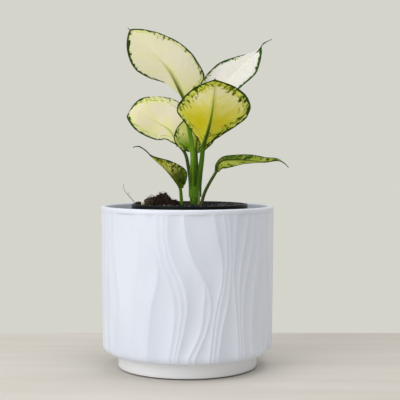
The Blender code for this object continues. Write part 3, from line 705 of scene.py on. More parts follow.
def leaf_material(name, look):
    """A variegated blade: pale in the middle, yellow-green and flecked near its green margin."""
    s = Surface("variegated_" + name, Specular_IOR_Level=0.12, Subsurface_Scale=0.003,
                Subsurface_Radius=(1, 1, 0.5))
    flat, veins = s.mapped("blade"), s.mapped("veins")
    margin, fleck, rib = s.value("margin"), s.value("fleck"), s.value("rib")
    clouds = s.grain(flat, 5, 5, 3)
    speckle = s.grain(flat, 150, 150, 3, 0.7)
    streaks = s.grain(veins, 5, 15, 4, 0.6, 0.5)
    mottle = s.grain(flat, 15, 15, 4, 0.65, 0.6)
    mixed = s.plus(s.times(streaks, 0.6), s.times(clouds, 0.4))
    pale = s.shift(look.centre, look.streak, mixed, 0.40, 0.60)
    pale = s.shift(pale, look.streak, mottle, 0.52, 0.72, 0.4)
    pale = s.shift(pale, scaled(look.centre, 1.1, most=0.9), mottle, 0.48, 0.30, 0.25)
    pale = s.shift(pale, scaled(look.centre, 0.75), speckle, 0.5, 0.75, 0.15)
    uneven = s.plus(s.times(s.less(clouds, 0.5), 0.5), 1.0)
    to_base = s.times(s.value("base"), uneven, True)
    pale = s.blend(to_base, pale, look.base)

    # Side veins are a little lighter than the flesh between them
    phase = s.math("PINGPONG", s.value("vein"), 0.5)
    line = s.times(s.step(phase, 0.0, 0.09, 1, 0), s.step(clouds, 0.35, 0.6, 0.02, 0.22))
    line = s.times(line, s.step(to_base, 0, 0.8, 1, 0.1))
    pale = s.blend(line, pale, scaled(look.centre, 1.16, 0.02, 0.95))

    # A yellow-green band inside the margin and beside the midrib, ragged along the veins
    reach = s.times(s.grain(veins, 9, 30, 4, 0.6), look.band_width * 2)
    band = s.step(s.less(margin, reach), -1.8, 1.8, 1, 0)
    band = s.times(band, s.step(fleck, 0.0, 0.8, 0, 0.92))
    tinted = s.blend(band, pale, look.band)
    tinted = s.blend(s.times(s.value("halo"), look.halo), tinted, look.band)

    # Green flecks with dark middles, thickest by the margin
    near = s.times(fleck, s.step(margin, 0.3, look.fleck_reach, 1, 0))
    spots = s.grain(veins, 22 / look.fleck_size, 28 / look.fleck_size, 4, 0.62, 0.8)
    level = s.plus(s.step(spots, 0.30, 0.70), s.times(near, FLECK_SPREAD))
    spotted = s.step(level, FLECK_LEVEL, FLECK_LEVEL + 0.08, 0, 0.85)
    tinted = s.blend(spotted, tinted, look.green)
    tinted = s.shift(tinted, look.dark, level, FLECK_LEVEL + 0.14, FLECK_LEVEL + 0.22, 0.9)

    # A broken dark line that runs along inside the margin
    inward, strength = look.line
    away = s.less(margin, s.times(s.grain(flat, 9, 9, 2), inward * 2))
    thin = s.step(s.math("ABSOLUTE", away), 0.2, 0.75, 1, 0)
    broken = s.times(thin, s.step(s.grain(veins, 12, 24, 2), 0.42, 0.52))
    traced = s.times(broken, s.times(fleck, strength, True))
    tinted = s.blend(traced, tinted, look.green)

    # The green margin itself, and the midrib
    width = s.times(s.value("edge"), s.step(s.grain(flat, 26, 26, 4, 0.6), 0.36, 0.70, 1.05, 2.5))
    rim = s.step(s.less(width, margin), -0.15, 0.25)
    tinted = s.blend(rim, tinted, look.dark)
    s.colour(s.blend(rib, tinted, look.rib_colour))

    # Light comes through the pale flesh, and hardly through the green
    dense = s.plus(s.plus(spotted, rib), rim, True)
    s.put(s.shader.inputs["Subsurface Weight"], s.step(dense, 0, 1, 0.55, 0.03))
    s.gloss(s.step(speckle, 0.3, 0.7, 0.36, 0.50))
    s.bump(s.step(phase, 0.0, 0.2), 0.00005, s.bump(speckle, 0.00006))
    return s.material


# ---------------------------------------------------------------- cover pot

def flutes(heights):
    """Where each flute of the first repeat starts at each height, and its width, in degrees."""
    knots = np.array(RIDGE_HEIGHTS[::-1], float)
    table = np.array([ridge[::-1] for ridge in RIDGES], float).T
    starts = hermite(knots, table, np.gradient(table, knots, axis=0), heights)
    return starts, np.column_stack((starts[:, 1:], starts[:, 0] + RELIEF_TURN)) - starts


def relief_columns():
    """(repeat, flute, share of its width) of every column of points."""
    widest = flutes(np.array(RIDGE_HEIGHTS, float))[1].max(axis=0)
    columns = []
    for repeat in range(RELIEF_REPEATS):
        for index, width in enumerate(widest):
            count = max(5, int(width / FLUTE_STEP))
            columns += [(repeat, index, step / count) for step in range(count)]
    return columns


def corner(radius, height, size, first, rows=CORNER_STEPS + 1, relief=0):
    """Profile rows round a quarter circle whose middle is at this radius and height. Relief
    comes in over the first of them."""
    turns = [math.radians(first + 90 * step / CORNER_STEPS) for step in range(rows)]
    return [(*around((radius, height), size, turn), relief * min(step / 4, 1))
            for step, turn in enumerate(turns)]


def pot_profile():
    """(radius, height, relief) from the underside, up the outside and down the inside."""
    foot, lip, top = FOOT_RADIUS, LIP_CORNER, RIDGE_HEIGHTS[0]
    rows = [(foot + out, height, 0) for out, height in FOOT_ROWS]
    rows += [(foot, 1.5 + (FOOT_HEIGHT - 2.0) * step / 6, 0) for step in range(1, 7)]
    rows += [(foot + 0.15, FOOT_HEIGHT - 0.2, 0), (foot + 0.6, FOOT_HEIGHT, 0),
             (foot + 4, FOOT_HEIGHT, 0)]
    rows += corner(POT_LOW_RADIUS - POT_CORNER, FOOT_HEIGHT + POT_CORNER, POT_CORNER, -90,
                   CORNER_STEPS, 1)
    for height in np.linspace(FOOT_HEIGHT + POT_CORNER, top - 0.5, WALL_ROWS):
        radius = POT_LOW_RADIUS + (POT_TOP_RADIUS - POT_LOW_RADIUS) * height / POT_HEIGHT
        rows.append((radius, height, 1))
    rows += [(POT_TOP_RADIUS - 0.05, top - 0.1, 0.6), (POT_TOP_RADIUS, top + 0.25, 0.08),
             (POT_TOP_RADIUS, top + 0.6, 0)]
    rows += corner(POT_TOP_RADIUS - lip, POT_HEIGHT - lip, lip, 0)
    rows += corner(POT_TOP_RADIUS - LIP_WALL + lip, POT_HEIGHT - lip, lip, 90)
    inside, hollow, ledge = POT_LOW_RADIUS - WALL, foot - WALL, FOOT_HEIGHT + WALL
    return rows + [(POT_TOP_RADIUS - LIP_WALL - 0.1, 125, 0), (inside + 0.6, 90, 0),
                   (inside, 50, 0), (inside, ledge + POT_CORNER, 0),
                   (inside - 1.5, ledge + 1.5, 0), (inside - POT_CORNER, ledge, 0),
                   (hollow + 1, ledge - 1, 0), (hollow, FLOOR + 3, 0), (hollow - 3, FLOOR, 0)]


def make_cover_pot():
    repeats, index, share = np.array(relief_columns()).T
    index = index.astype(int)
    profile = pot_profile()
    heights = np.clip([row[1] for row in profile], RIDGE_HEIGHTS[-1], RIDGE_HEIGHTS[0])
    starts, widths = flutes(heights)
    points = []
    for row, (radius, height, relief) in enumerate(profile):
        width = np.maximum(widths[row][index], 0)
        steep = np.interp(height, FLUTE_HEIGHTS, FLUTE_SHARES)
        deep = np.minimum(FLUTE_DEEPEST, steep * np.radians(width) * radius)
        reach = radius - relief * deep * 4 * share * (1 - share)
        turn = np.radians(starts[row][index] + share * width + repeats * RELIEF_TURN)
        points += zip(reach * np.sin(turn), -reach * np.cos(turn), np.full(len(turn), height))
    sides = len(index)
    faces = ring_faces(len(profile), sides)
    below, above = len(points), len(points) + 1
    last = below - sides
    points += [(0, 0, UNDERSIDE), (0, 0, FLOOR)]
    for side in range(sides):
        after = (side + 1) % sides
        faces += [(after, side, below), (last + side, last + after, above)]
    piece_from("glazed_cover_pot", points, faces, glaze_material(),
               ("cover_pot",), sharp_above=60)


# ---------------------------------------------------------------- nursery pot and soil

def nursery_radius(height, wall=0.0):
    """Radius of the inside at a height, or of the outside with its wall."""
    share = (height - NURSERY_BOTTOM) / (NURSERY_TOP - NURSERY_BOTTOM)
    outer = NURSERY_RIM_RADIUS - NURSERY_LIP_OUT
    return NURSERY_BASE_RADIUS + (outer - NURSERY_BASE_RADIUS) * share - NURSERY_WALL + wall


def make_nursery_pot():
    floor = NURSERY_BOTTOM + NURSERY_WALL
    top, low, rim = NURSERY_TOP, NURSERY_TOP - NURSERY_LIP_HEIGHT, NURSERY_RIM_RADIUS
    profile = [(nursery_radius(height), height)
               for height in (floor, *np.linspace(floor + 4, top - 1.4, 12))]
    profile += [(nursery_radius(top) + out, top - down)
                for out, down in ((0.1, 0.6), (0.45, 0.12), (1.0, 0))]
    profile += [(rim - 0.9, top), (rim - 0.3, top - 0.2), (rim, top - 0.8), (rim - 0.15, top - 3),
                (rim - 0.4, low + 0.6), (rim - 0.7, low), (nursery_radius(low) + 1.3, low - 0.1)]
    profile += [(nursery_radius(height, NURSERY_WALL), height)
                for height in (low - 2, *np.linspace(low - 8, NURSERY_BOTTOM + 2, 12))]
    profile += [(NURSERY_BASE_RADIUS - 0.3, NURSERY_BOTTOM + 0.4),
                (NURSERY_BASE_RADIUS - 1, NURSERY_BOTTOM)]
    points = [(*around(NURSERY_MIDDLE, radius, turn), height)
              for radius, height in profile for turn in circle(NURSERY_SIDES)]
    faces = [tuple(reversed(face)) for face in tube_faces(len(profile), NURSERY_SIDES)]
    plastic = plastic_material()
    pot = piece_from("black_nursery_pot", points, faces, plastic,
                     ("nursery_pot",))
    cutters = []
    for quarter in range(4):
        x, y = around(NURSERY_MIDDLE, DRAIN_CIRCLE, math.radians(45 + 90 * quarter))
        shape, walls = tube_shape(((x, y, NURSERY_BOTTOM - 2), (x, y, floor + 2)),
                                  (DRAIN_RADIUS, DRAIN_RADIUS), 24)
        cutters.append(piece_from(f"drain_cutter_{quarter}", shape, walls, plastic))
        cut = pot.modifiers.new("drain", "BOOLEAN")
        cut.operation = "DIFFERENCE"
        cut.object = cutters[-1]
    shown = pot.evaluated_get(bpy.context.evaluated_depsgraph_get())
    drained = bpy.data.meshes.new_from_object(shown)
    pot.modifiers.clear()
    pot.data = drained
    for cutter in cutters:
        bpy.data.objects.remove(cutter)
    pot.data.set_sharp_from_angle(angle=math.radians(50))


def soil_height(x, y):
    """The part's own soil, with finer crumbs on it."""
    lumps = noise.noise(Vector((x / 7, y / 7, 0.5)))
    crumbly = min(max((x + 4) / 8, 0), 1)
    fine = 0.45 * rough(x / 2.6, y / 2.6, 3.1) + 0.25 * rough(x / 0.9, y / 0.9, 8.4, 2)
    return (SOIL_LEVEL + SOIL_ROUGHNESS * lumps * crumbly + 0.15
            + fine * (0.45 + 0.55 * crumbly))


def make_soil(material):
    bottom = NURSERY_BOTTOM + NURSERY_WALL + 0.1
    top_radius = nursery_radius(SOIL_LEVEL) - 0.05
    low_radius = nursery_radius(bottom) - 0.2
    places, faces = disc(SOIL_RINGS, SOIL_SIDES)
    points = []
    for across, ahead in places:
        x, y = NURSERY_MIDDLE[0] + top_radius * across, NURSERY_MIDDLE[1] + top_radius * ahead
        points.append((x, y, soil_height(x, y)))
    tints = [0.25 + 0.35 * rough(x / 9, y / 9, 2.2) for x, y, _ in points[:-1]]
    low = len(points)
    points += [(*around(NURSERY_MIDDLE, low_radius, turn), bottom) for turn in circle(SOIL_SIDES)]
    for side in range(SOIL_SIDES):
        after = (side + 1) % SOIL_SIDES
        faces.append((low + side, low + after, after, side))
    faces.append(tuple(reversed(range(low, len(points)))))
    tints += [0.3] * (len(points) - len(tints))
    piece_from("potting_mix", points, faces, material, ("potting_soil",),
               sharp_above=80, values={"tint": tints})


@cache
def ball(subdivisions):
    """Points and faces of a ball of radius 1, for rough lumps to start from."""
    shape = bmesh.new()
    bmesh.ops.create_icosphere(shape, subdivisions=subdivisions, radius=1)
    points = [tuple(vertex.co) for vertex in shape.verts]
    faces = [tuple(vertex.index for vertex in face.verts) for face in shape.faces]
    shape.free()
    return points, faces


def crumb_shape(dice, size, flat=0.75, roughness=0.35):
    """A small rough lump about its own middle, turned at random."""
    points, faces = ball(1)
    seed = Vector((dice.uniform(0, 100), 0, 0))
    shaped = np.array([np.array(point) * (1 + roughness * noise.noise(Vector(point) * 1.3 + seed))
                       for point in points])
    shaped *= (size, size * dice.uniform(0.6, 1), size * flat * dice.uniform(0.6, 1))
    turn, tilt = dice.uniform(0, 2 * math.pi), dice.uniform(-0.5, 0.5)
    spin = np.array(Matrix.Rotation(turn, 3, "Z") @ Matrix.Rotation(tilt, 3, "X"))
    return shaped @ spin.T, faces


def is_free(x, y, room):
    """True where nothing else stands on the soil."""
    if math.dist((x, y), NURSERY_MIDDLE) > nursery_radius(SOIL_LEVEL) - 0.6 - room:
        return False
    if math.dist((x, y), STEM_XY) < STEM_RADIUS + 0.4:
        return False
    return all(math.dist((x, y), leaf.stalk[1][:2]) > 2.2 + room / 2
               for leaf in LEAVES if leaf.name in PLANTED)


def make_crumbs(material):
    """Crumbs of the mix, finer in the middle, with dry grey grains at the right."""
    dice = random.Random(7)
    heap = Heap()
    for _ in range(CRUMBS):
        reach = CRUMBS_REACH * math.sqrt(dice.random())
        x, y = around(NURSERY_MIDDLE, reach, dice.uniform(0, 2 * math.pi))
        size = 0.35 + 0.9 * dice.random() ** 3
        dry = dice.random() < DRY_SHARES[x > DRY_FROM]
        if dry and x > DRY_FROM:
            size *= 1.25
        elif not dry and math.dist((x, y), STEM_XY) < 12:
            size *= 1.6
        if is_free(x, y, size):
            shape, faces = crumb_shape(dice, size)
            heap.add(shape + (x, y, soil_height(x, y) + size * 0.25), faces,
                     dice.uniform(0.75, 1) if dry else dice.uniform(0, 0.6))
    heap.piece("soil_crumbs", material, sharp_above=50)


def clump_height(x, y):
    """Height of the coir heap above the soil, at places from -1 to 1 across it."""
    share = math.hypot(x, y)
    if share >= 1:
        return 0.0
    height = 0.6 * (1 - share ** 2)
    for lobe_x, lobe_y, half_x, half_y, lobe_height in CLUMP_LOBES:
        out = (((CLUMP_MIDDLE[0] + CLUMP_HALF[0] * x - lobe_x) / half_x) ** 2
               + ((CLUMP_MIDDLE[1] + CLUMP_HALF[1] * y - lobe_y) / half_y) ** 2)
        if out < 1:
            height = max(height, lobe_height * (1 - out) ** 0.42)
    fine = 2.2 * rough(x * 5, y * 5, 1.3) + 1.3 * abs(rough(x * 13, y * 13, 4.4, 2)) - 0.5
    return max(height + fine * min(height / 4, 1), 0)


def on_clump(x, y, lift=0.0):
    """The point above a place from -1 to 1 across the coir heap."""
    return (CLUMP_MIDDLE[0] + CLUMP_HALF[0] * x, CLUMP_MIDDLE[1] + CLUMP_HALF[1] * y,
            SOIL_LEVEL + clump_height(x, y) + lift)


def strewn(dice, reach):
    """A random place on the coir heap, whose own reach is 1."""
    turn = dice.uniform(0, 2 * math.pi)
    return around((0, 0), math.sqrt(dice.random()) * reach, turn)


def make_clump(material):
    places, faces = disc(CLUMP_RINGS, CLUMP_SIDES)
    faces.append(tuple(reversed(range(CLUMP_SIDES))))
    tints = [0.06 + 0.2 * rough(x * 6, y * 6, 9) for x, y in places[:-1]] + [0.2]
    piece_from("coir_heap", [on_clump(x, y) for x, y in places], faces, material,
               ("coir_clump",), sharp_above=70, values={"tint": tints})


def make_fibres(material):
    """Coir fibres and crumbs that lie over the heap and stick out of it."""
    dice = random.Random(21)
    heap = Heap()
    for _ in range(FIBRES):
        x, y = strewn(dice, 1.02)
        heading = dice.uniform(0, 2 * math.pi)
        stray = dice.random() < STRAY_SHARE
        length = dice.uniform(2.5, 8)
        bend = dice.uniform(-0.5, 0.5)
        line, rise = [], 0.25
        for step in range(FIBRE_STEPS):
            if stray:
                rise += dice.uniform(0, 0.55)
            beside = 0.2 if math.hypot(x, y) >= 1 else 0
            line.append(on_clump(x, y, beside + rise + dice.uniform(-0.2, 0.3)))
            heading += bend + dice.uniform(-0.25, 0.25)
            x += length / FIBRE_STEPS * math.cos(heading) / CLUMP_HALF[0]
            y += length / FIBRE_STEPS * math.sin(heading) / CLUMP_HALF[1]
        radii = dice.uniform(0.08, 0.2) * np.array((0.8, 1, 1, 0.95, 0.85, 0.65, 0.35))
        shape, faces = tube_shape(line, radii, 5)
        if shape[:, 2].max() < SOIL_LEVEL + FIBRES_REACH:
            heap.add(shape, faces, dice.uniform(0.3, 1) if stray else dice.random() ** 3)
    for _ in range(CLUMP_CRUMBS):
        x, y = strewn(dice, 1.05)
        size = 0.4 + 0.8 * dice.random() ** 2
        shape, faces = crumb_shape(dice, size, 0.8, 0.5)
        heap.add(shape + on_clump(x, y, size * 0.3), faces, dice.uniform(0, 0.5))
    heap.piece("coir_fibres", material, sharp_above=60)


def make_chip(name, node, slot, size, turn, seed, material):
    """A layered chip of bark or a rounder pebble, in the place of the part's own one."""
    low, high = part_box(node)
    middle = (low + high) / 2 / MM
    layered = slot == "bark"
    power = 0.72 if layered else 0.9
    points, faces = ball(4)
    shaped = []
    for x, y, z in points:
        swell = 1 + 0.22 * rough(1.4 * x + seed, 1.4 * y, 1.4 * z)
        if layered:
            swell += 0.05 * math.sin(9 * z + 3 * rough(x, y, seed))
        across, ahead, up = (math.copysign(abs(c) ** power, c) for c in (x, y, z))
        across *= size[0] / 2 * swell
        ahead *= size[1] / 2 * swell
        up = size[2] / 2 * (1 + up * (1 + 0.2 * rough(2 * x, 2 * y, seed)))
        shaped.append((middle.x + across * math.cos(turn) - ahead * math.sin(turn),
                       middle.y + across * math.sin(turn) + ahead * math.cos(turn),
                       low.z / MM - 0.3 + up))
    piece_from(name, shaped, faces, material, (node,), sharp_above=70)


def make_dry_root(material):
    path = SmoothPath(DRY_ROOT)
    dice = random.Random(3)
    line, _ = path.at(np.linspace(0, path.length, DRY_ROOT_STEPS))
    line += [(dice.uniform(-0.18, 0.18), dice.uniform(-0.3, 0.3), 0) for _ in line]
    heap = Heap()
    heap.add(*tube_shape(line, np.linspace(0.34, 0.12, DRY_ROOT_STEPS), 7), 1.0)
    twig = line[14] + [(0.5 * step, -0.15 * step, 0.35 * step) for step in range(6)]
    heap.add(*tube_shape(twig, np.linspace(0.16, 0.06, 6), 5), 1.0)
    heap.piece("dry_root_strand", material, ("dry_root",))


# ---------------------------------------------------------------- plant

def blade_width(leaf, share, half):
    """Width of the left half (0) or the right (1) at a share of the blade's length."""
    widest = leaf.widest[half]
    if share < widest:
        form = math.sin(math.pi / 2 * share / widest) ** leaf.base
    else:
        past = (share - widest) / (1 - leaf.tail - widest)
        form = math.cos(math.pi / 2 * min(past, 1)) ** leaf.taper[half]
    neck = leaf.stalk_radii[1] * (1 - share)
    tail = TAIL_HALF_WIDTH * min((1 - share) / 0.1, 1)
    return max(leaf.half_width[half] * form, neck, tail)


def blade_section(leaf, share, across, width, middle, forward, face):
    """The blade's middle surface at one point, the way its upper side faces there, and how
    far the point is set back along the blade."""
    right = np.cross(forward, face) * (1 if across >= 0 else -1)
    reach = abs(across)
    base_fold, tip_fold = leaf.right_fold if across >= 0 else leaf.left_fold
    fold = math.radians(base_fold + (tip_fold - base_fold) * share)
    wave = math.sin(2 * math.pi * MARGIN_WAVES * share + (1 if across >= 0 else -1))
    lift = width * reach * math.sin(fold) + leaf.wave * wave * reach ** 2 * (1 - share)
    back = leaf.lobe * reach ** 2 * max(1 - share / 0.35, 0) ** 2 * min(share / 0.08, 1)
    place = middle + right * width * reach * math.cos(fold) + face * lift - forward * back
    angle = fold * min(width * reach / FOLD_ROOM, 1)
    return place, face * math.cos(angle) - right * math.sin(angle), back


def leaf_path(leaf):
    """The stalk and the midrib as one curve, and the length at which the blade starts."""
    path = SmoothPath(leaf.stalk + leaf.midrib)
    return path, path.length_to(len(leaf.stalk))


def column_places(rib, width):
    """Distances from the midrib of one half's columns, dense on the midrib and the margin."""
    inner = [rib * share for share in RIB_COLUMNS]
    shares = [1 - (1 - step / OUTER_COLUMNS) ** 1.4 for step in range(1, OUTER_COLUMNS + 1)]
    return inner + [inner[-1] + (width - inner[-1]) * share for share in shares]


def blade_sheets(leaf, seed):
    """The upper and the lower points of a blade whose midrib stands out below and is a channel
    above, and its tip and length. Marks say where each point is on the flat blade: across,
    along, share of the length, half width of the midrib there, and vein."""
    path, joint = leaf_path(leaf)
    length = path.length - joint
    shares = 1 - (1 - np.arange(BLADE_ROWS) / BLADE_ROWS) ** 1.25
    middles, directions = path.at(joint - 0.3 + (length + 0.3) * np.append(shares, 1))
    upper, lower, marks = [], [], []
    for share, middle, forward in zip(shares, middles, directions):
        face = (1 - share) * np.array(leaf.faces[0]) + share * np.array(leaf.faces[1])
        face -= forward * face.dot(forward)
        face /= np.linalg.norm(face)
        start = min(share / 0.1, 1)
        rib = max(leaf.stalk_radii[1] * (1 - share) ** 1.3 * (1 - 0.45 * start), 0.12)
        left, right = (max(blade_width(leaf, share, half)
                           * (1 + 0.012 * rough(share * 14, side, seed) * start), rib * 2.5)
                       for half, side in ((0, -1), (1, 1)))
        columns = [(-place, left) for place in reversed(column_places(rib, left))]
        columns += [(place, right) for place in [0.0] + column_places(rib, right)]
        for place, width in columns:
            reach = abs(place) / width
            point, up, back = blade_section(leaf, share, place / width, width, middle, forward,
                                            face)
            along = share * length - back
            vein = (along - VEIN_SWEEP * abs(place) - VEIN_CURVE * place ** 2) / VEIN_SPACING
            swell = 0.2 * math.cos(2 * math.pi * vein) * reach * (1 - reach) * start
            swell *= 0.6 + 0.8 * rough(along / 16, place / 16, seed + 8, 2)
            ruffle = 0.5 * rough(along / 9, place / 30, seed + 5, 2) * reach ** 3
            point = point + up * (swell * min(width / 10, 1) + ruffle * min(width / 12, 1))
            sheet = SHEET * (1 - reach ** 4)
            ribbed = math.sqrt(max(1 - (place / rib) ** 2, 0))
            upper.append(point + up * (sheet - 0.28 * rib * ribbed ** 2))
            lower.append(point - up * (sheet + 0.95 * rib * ribbed))
            marks.append((place, along, share, rib, vein))
    return upper, lower, np.array(marks), middles[-1], length


def closed_blade(upper, lower, tip):
    """Points and faces of the two sheets, joined at their margins, base and tip, and the mark
    that each point has. The tip comes last and has none."""
    columns = len(upper) // BLADE_ROWS
    points, sources, under = upper[:], list(range(len(upper))), []
    for index, point in enumerate(lower):
        if index % columns in (0, columns - 1):
            under.append(index)
        else:
            under.append(len(points))
            points.append(point)
            sources.append(index)
    end = len(points)
    faces = []
    for row in range(BLADE_ROWS - 1):
        for low in range(row * columns, (row + 1) * columns - 1):
            high = low + columns
            for triangle in ((low, low + 1, high + 1), (low, high + 1, high)):
                faces += [triangle, tuple(under[corner] for corner in reversed(triangle))]
    for low in range((BLADE_ROWS - 1) * columns, BLADE_ROWS * columns - 1):
        faces += [(low, low + 1, end), (under[low + 1], under[low], end)]
    faces.append((*under[1:columns - 1], *reversed(range(columns))))
    return points + [tip], faces, sources


def make_blade(leaf, look, seed):
    upper, lower, marks, tip, length = blade_sheets(leaf, seed)
    points, faces, sources = closed_blade(upper, lower, tip)
    at_tip = (0, length, 1, 0.1, length / VEIN_SPACING)
    place, along, share, rib, vein = np.vstack((marks[sources], at_tip)).T

    # How far each point is from the margin, on the flat blade
    columns = len(upper) // BLADE_ROWS
    outline = np.vstack((marks[::columns, :2], marks[columns - 1::columns, :2], at_tip[:2]))
    margin = np.hypot(place[:, None] - outline[:, 0], along[:, None] - outline[:, 1]).min(axis=1)
    right, out = place > 0, np.abs(place)
    values = {"margin": margin, "vein": vein}
    for title, pairs in (("edge", look.edge), ("fleck", look.flecks), ("base", look.bases)):
        left_values, right_values = (np.interp(share, *zip(*half)) for half in pairs)
        values[title] = np.where(right, right_values, left_values)
    fade = np.clip(1.25 - share / look.rib, 0, 1)
    core = np.maximum(1.1 * rib, look.rib_width * (1.3 - share / look.rib))
    values["rib"] = fade * np.clip(1.8 - out / np.maximum(core, 0.3), 0, 1)
    values["halo"] = np.sqrt(fade) * np.clip(1.7 - out / (3.0 * np.maximum(core, 0.4)), 0, 1)
    maps = {"blade": np.column_stack((place / 100 + seed, along / 100)),
            "veins": np.column_stack((out / 100 + seed + 0.5 * right,
                                      (along - VEIN_SWEEP * out) / 100))}
    piece_from(leaf.name + "_blade", points, faces, leaf_material(leaf.name, look),
               (leaf.name + "_leaf",), sharp_above=80, values=values, maps=maps)


def stalk_values(heights, dark=0.0, brown=0.0, pale=0.0, shade_from=145, shade_over=5):
    """How dark, brown and pale a stalk is at these heights. The soil shades its foot."""
    heights = np.asarray(heights)
    shade = 0.8 * np.clip((shade_from - heights) / shade_over, 0, 1)
    return {"dark": np.maximum(shade, dark), "brown": brown * np.clip((170 - heights) / 20, 0, 1),
            "pale": np.full(len(heights), pale)}


def make_stalk(leaf, material, seed):
    """A fleshy stalk with a shallow channel along its upper side, down to the soil."""
    path, joint = leaf_path(leaf)
    lengths = np.linspace(0, joint + 0.5, STALK_ROWS)
    middles, _ = path.at(lengths)
    low, high = leaf.stalk_radii
    radii = low + (high - low) * lengths / joint
    if leaf.name not in PLANTED:      # the sheath runs on down the stem
        start = middles[0]
        run = np.array((0.08 * (STEM_XY[0] - start[0]), 0.08 * (STEM_XY[1] - start[1]), -9))
        middles = np.vstack((start + np.linspace(1, 0.1, 10)[:, None] * run, middles))
        radii = np.append(np.linspace(radii[0] * 1.12, radii[0], 10), radii)
    points, faces = tube_shape(middles, radii, STALK_SIDES, leaf.faces[0])
    centres = np.repeat(middles, STALK_SIDES, axis=0)
    turn = np.tile(circle(STALK_SIDES), len(middles))
    channel = 1 - 0.22 * np.exp(-(np.minimum(turn, 2 * math.pi - turn) / 0.5) ** 2)
    points = centres + (points - centres) * channel[:, None]
    along = np.append(0, np.cumsum(np.linalg.norm(np.diff(middles, axis=0), axis=1)))
    maps = {"blade": np.column_stack((turn / (2 * math.pi) + seed,
                                      np.repeat(along / 100, STALK_SIDES)))}
    piece_from(leaf.name + "_petiole", points, faces, material,
               (leaf.name + "_stalk",), sharp_above=80,
               values=stalk_values(points[:, 2], *STALK_SHADES[leaf.name]), maps=maps)


def make_stem(material):
    """The short stem, wrapped in the sheaths of its stalks."""
    points, marks = [], []
    for height in np.linspace(STEM_BOTTOM, CROWN_HEIGHT + 1.2, STEM_ROWS):
        share = (height - STEM_BOTTOM) / (CROWN_HEIGHT - STEM_BOTTOM)
        radius = STEM_RADIUS + (CROWN_RADIUS - STEM_RADIUS) * share - 0.5
        radius -= 1.6 * max((height - CROWN_HEIGHT + 1.2) / 2.4, 0) ** 2
        for turn in circle(STEM_SIDES):
            lobes = 0.25 * math.cos(3 * turn + 0.05 * height) + 0.12 * math.cos(7 * turn + 1)
            points.append((*around(STEM_XY, radius + lobes, turn), height))
            marks.append((abs(turn / math.pi - 1), height / 100))
    values = stalk_values([point[2] for point in points], 0.12, shade_from=150, shade_over=9)
    piece_from("sheathed_stem", points, tube_faces(STEM_ROWS, STEM_SIDES), material,
               ("stem",), values=values, maps={"blade": marks})


def make_sheath(material):
    """A dry pale edge of an old sheath, on the front of the stem."""
    across = np.linspace(-1, 1, SHEATH_COLUMNS)
    ring = [(0, place) for place in across] + [(-0.25, place) for place in reversed(across)]
    points, marks = [], []
    for share in np.linspace(0, 1, SHEATH_ROWS):
        height = SOIL_LEVEL - 0.5 + SHEATH_HEIGHT * share
        for depth, place in ring:
            turn = math.radians(-50 + (11 * (1 - share ** 2) + 2) * place + 6 * share)
            radius = CROWN_RADIUS + 0.75 + depth + 0.25 * share
            points.append((*around(STEM_XY, radius, turn), height))
            marks.append((0.1 * (place + 1) * (1 - 1 / SHEATH_COLUMNS), height / 100))
    values = stalk_values([point[2] for point in points], pale=0.8, shade_from=0)
    piece_from("old_sheath", points, tube_faces(SHEATH_ROWS, len(ring)), material,
               sharp_above=60, values=values, maps={"blade": marks})


# ---------------------------------------------------------------- stage

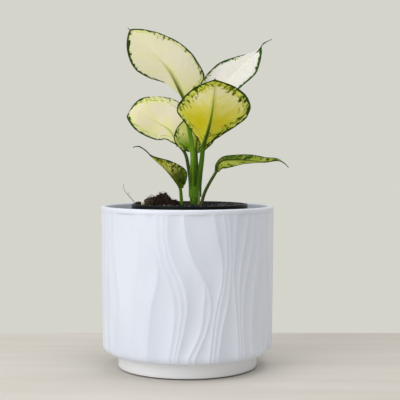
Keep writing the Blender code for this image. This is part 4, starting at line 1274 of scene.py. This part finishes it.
def make_floor():
    """A pale floor that turns to the pale tone of a wall a little way behind the pot."""
    s = Surface("pale_floor", 0.75, Specular_IOR_Level=0.2)
    grain = s.grain(s.place(), 3, 26, 4, 0.6)
    s.colour(s.shift((0.655, 0.62, 0.56), (0.71, 0.68, 0.63), grain, 0.3, 0.7))
    wall = s.node("Emission", ("Color", WALL_TONE)).outputs[0]
    beyond = s.times(s.step(s.coordinate(1), *WALL_FROM), s.background_rays())
    mixed = s.node("MixShader", (0, beyond), (1, s.shader.outputs[0]), (2, wall)).outputs[0]
    s.put(s.tree.nodes["Material Output"].inputs["Surface"], mixed)
    mesh = bpy.data.meshes.new("floor")
    wide = FLOOR_REACH * MM
    mesh.from_pydata([(-wide, -wide, 0), (wide, -wide, 0), (wide, wide, 0), (-wide, wide, 0)],
                     [], [(0, 1, 2, 3)])
    mesh.materials.append(s.material)
    floor = bpy.data.objects.new("floor", mesh)
    bpy.context.scene.collection.objects.link(floor)


def make_lights():
    world = bpy.data.worlds.new("studio")
    bpy.context.scene.world = world
    world.use_nodes = True
    w = Nodes(world.node_tree)
    light = w.node("Background", ("Color", (1.0, 0.99, 0.97)), ("Strength", DAYLIGHT)).outputs[0]
    seen = w.node("Background", ("Color", WALL_TONE)).outputs[0]
    mixed = w.node("MixShader", (0, w.background_rays()), (1, light), (2, seen)).outputs[0]
    w.put(w.tree.nodes["World Output"].inputs["Surface"], mixed)
    target = (cad_low + cad_high) / 2
    for name, place, size, power in LAMPS:
        data = bpy.data.lights.new(name, "AREA")
        data.size = size * MM
        data.energy = power
        lamp = bpy.data.objects.new(name, data)
        lamp.location = Vector(place) * MM
        lamp.rotation_euler = (lamp.location - target).to_track_quat("Z", "Y").to_euler()
        bpy.context.scene.collection.objects.link(lamp)


def make_camera():
    data = bpy.data.cameras.new("camera")
    data.sensor_width = 36
    data.lens = CAMERA_LENS
    data.clip_end = 50
    camera = bpy.data.objects.new("camera", data)
    camera.location = Vector(CAMERA_PLACE) * MM
    camera.rotation_euler = (math.radians(90 - CAMERA_DOWN), 0, 0)
    bpy.context.scene.collection.objects.link(camera)
    bpy.context.scene.camera = camera


def build():
    bpy.context.scene.view_settings.view_transform = "Standard"
    make_camera()
    make_floor()
    make_lights()
    make_cover_pot()
    make_nursery_pot()
    mix = soil_material()
    make_soil(mix)
    make_crumbs(mix)
    coir = coir_material()
    make_clump(coir)
    make_fibres(coir)
    chips = {"bark": bark_material(), "perlite": perlite_material()}
    for name, node, slot, size, turn, seed in CHIPS:
        make_chip(name, node, slot, size, turn, seed, chips[slot])
    make_dry_root(coir)
    green = stalk_material()
    make_stem(green)
    make_sheath(green)
    for index, leaf in enumerate(LEAVES):
        make_stalk(leaf, green, index)
        make_blade(leaf, LOOKS[leaf.name], index)


build()
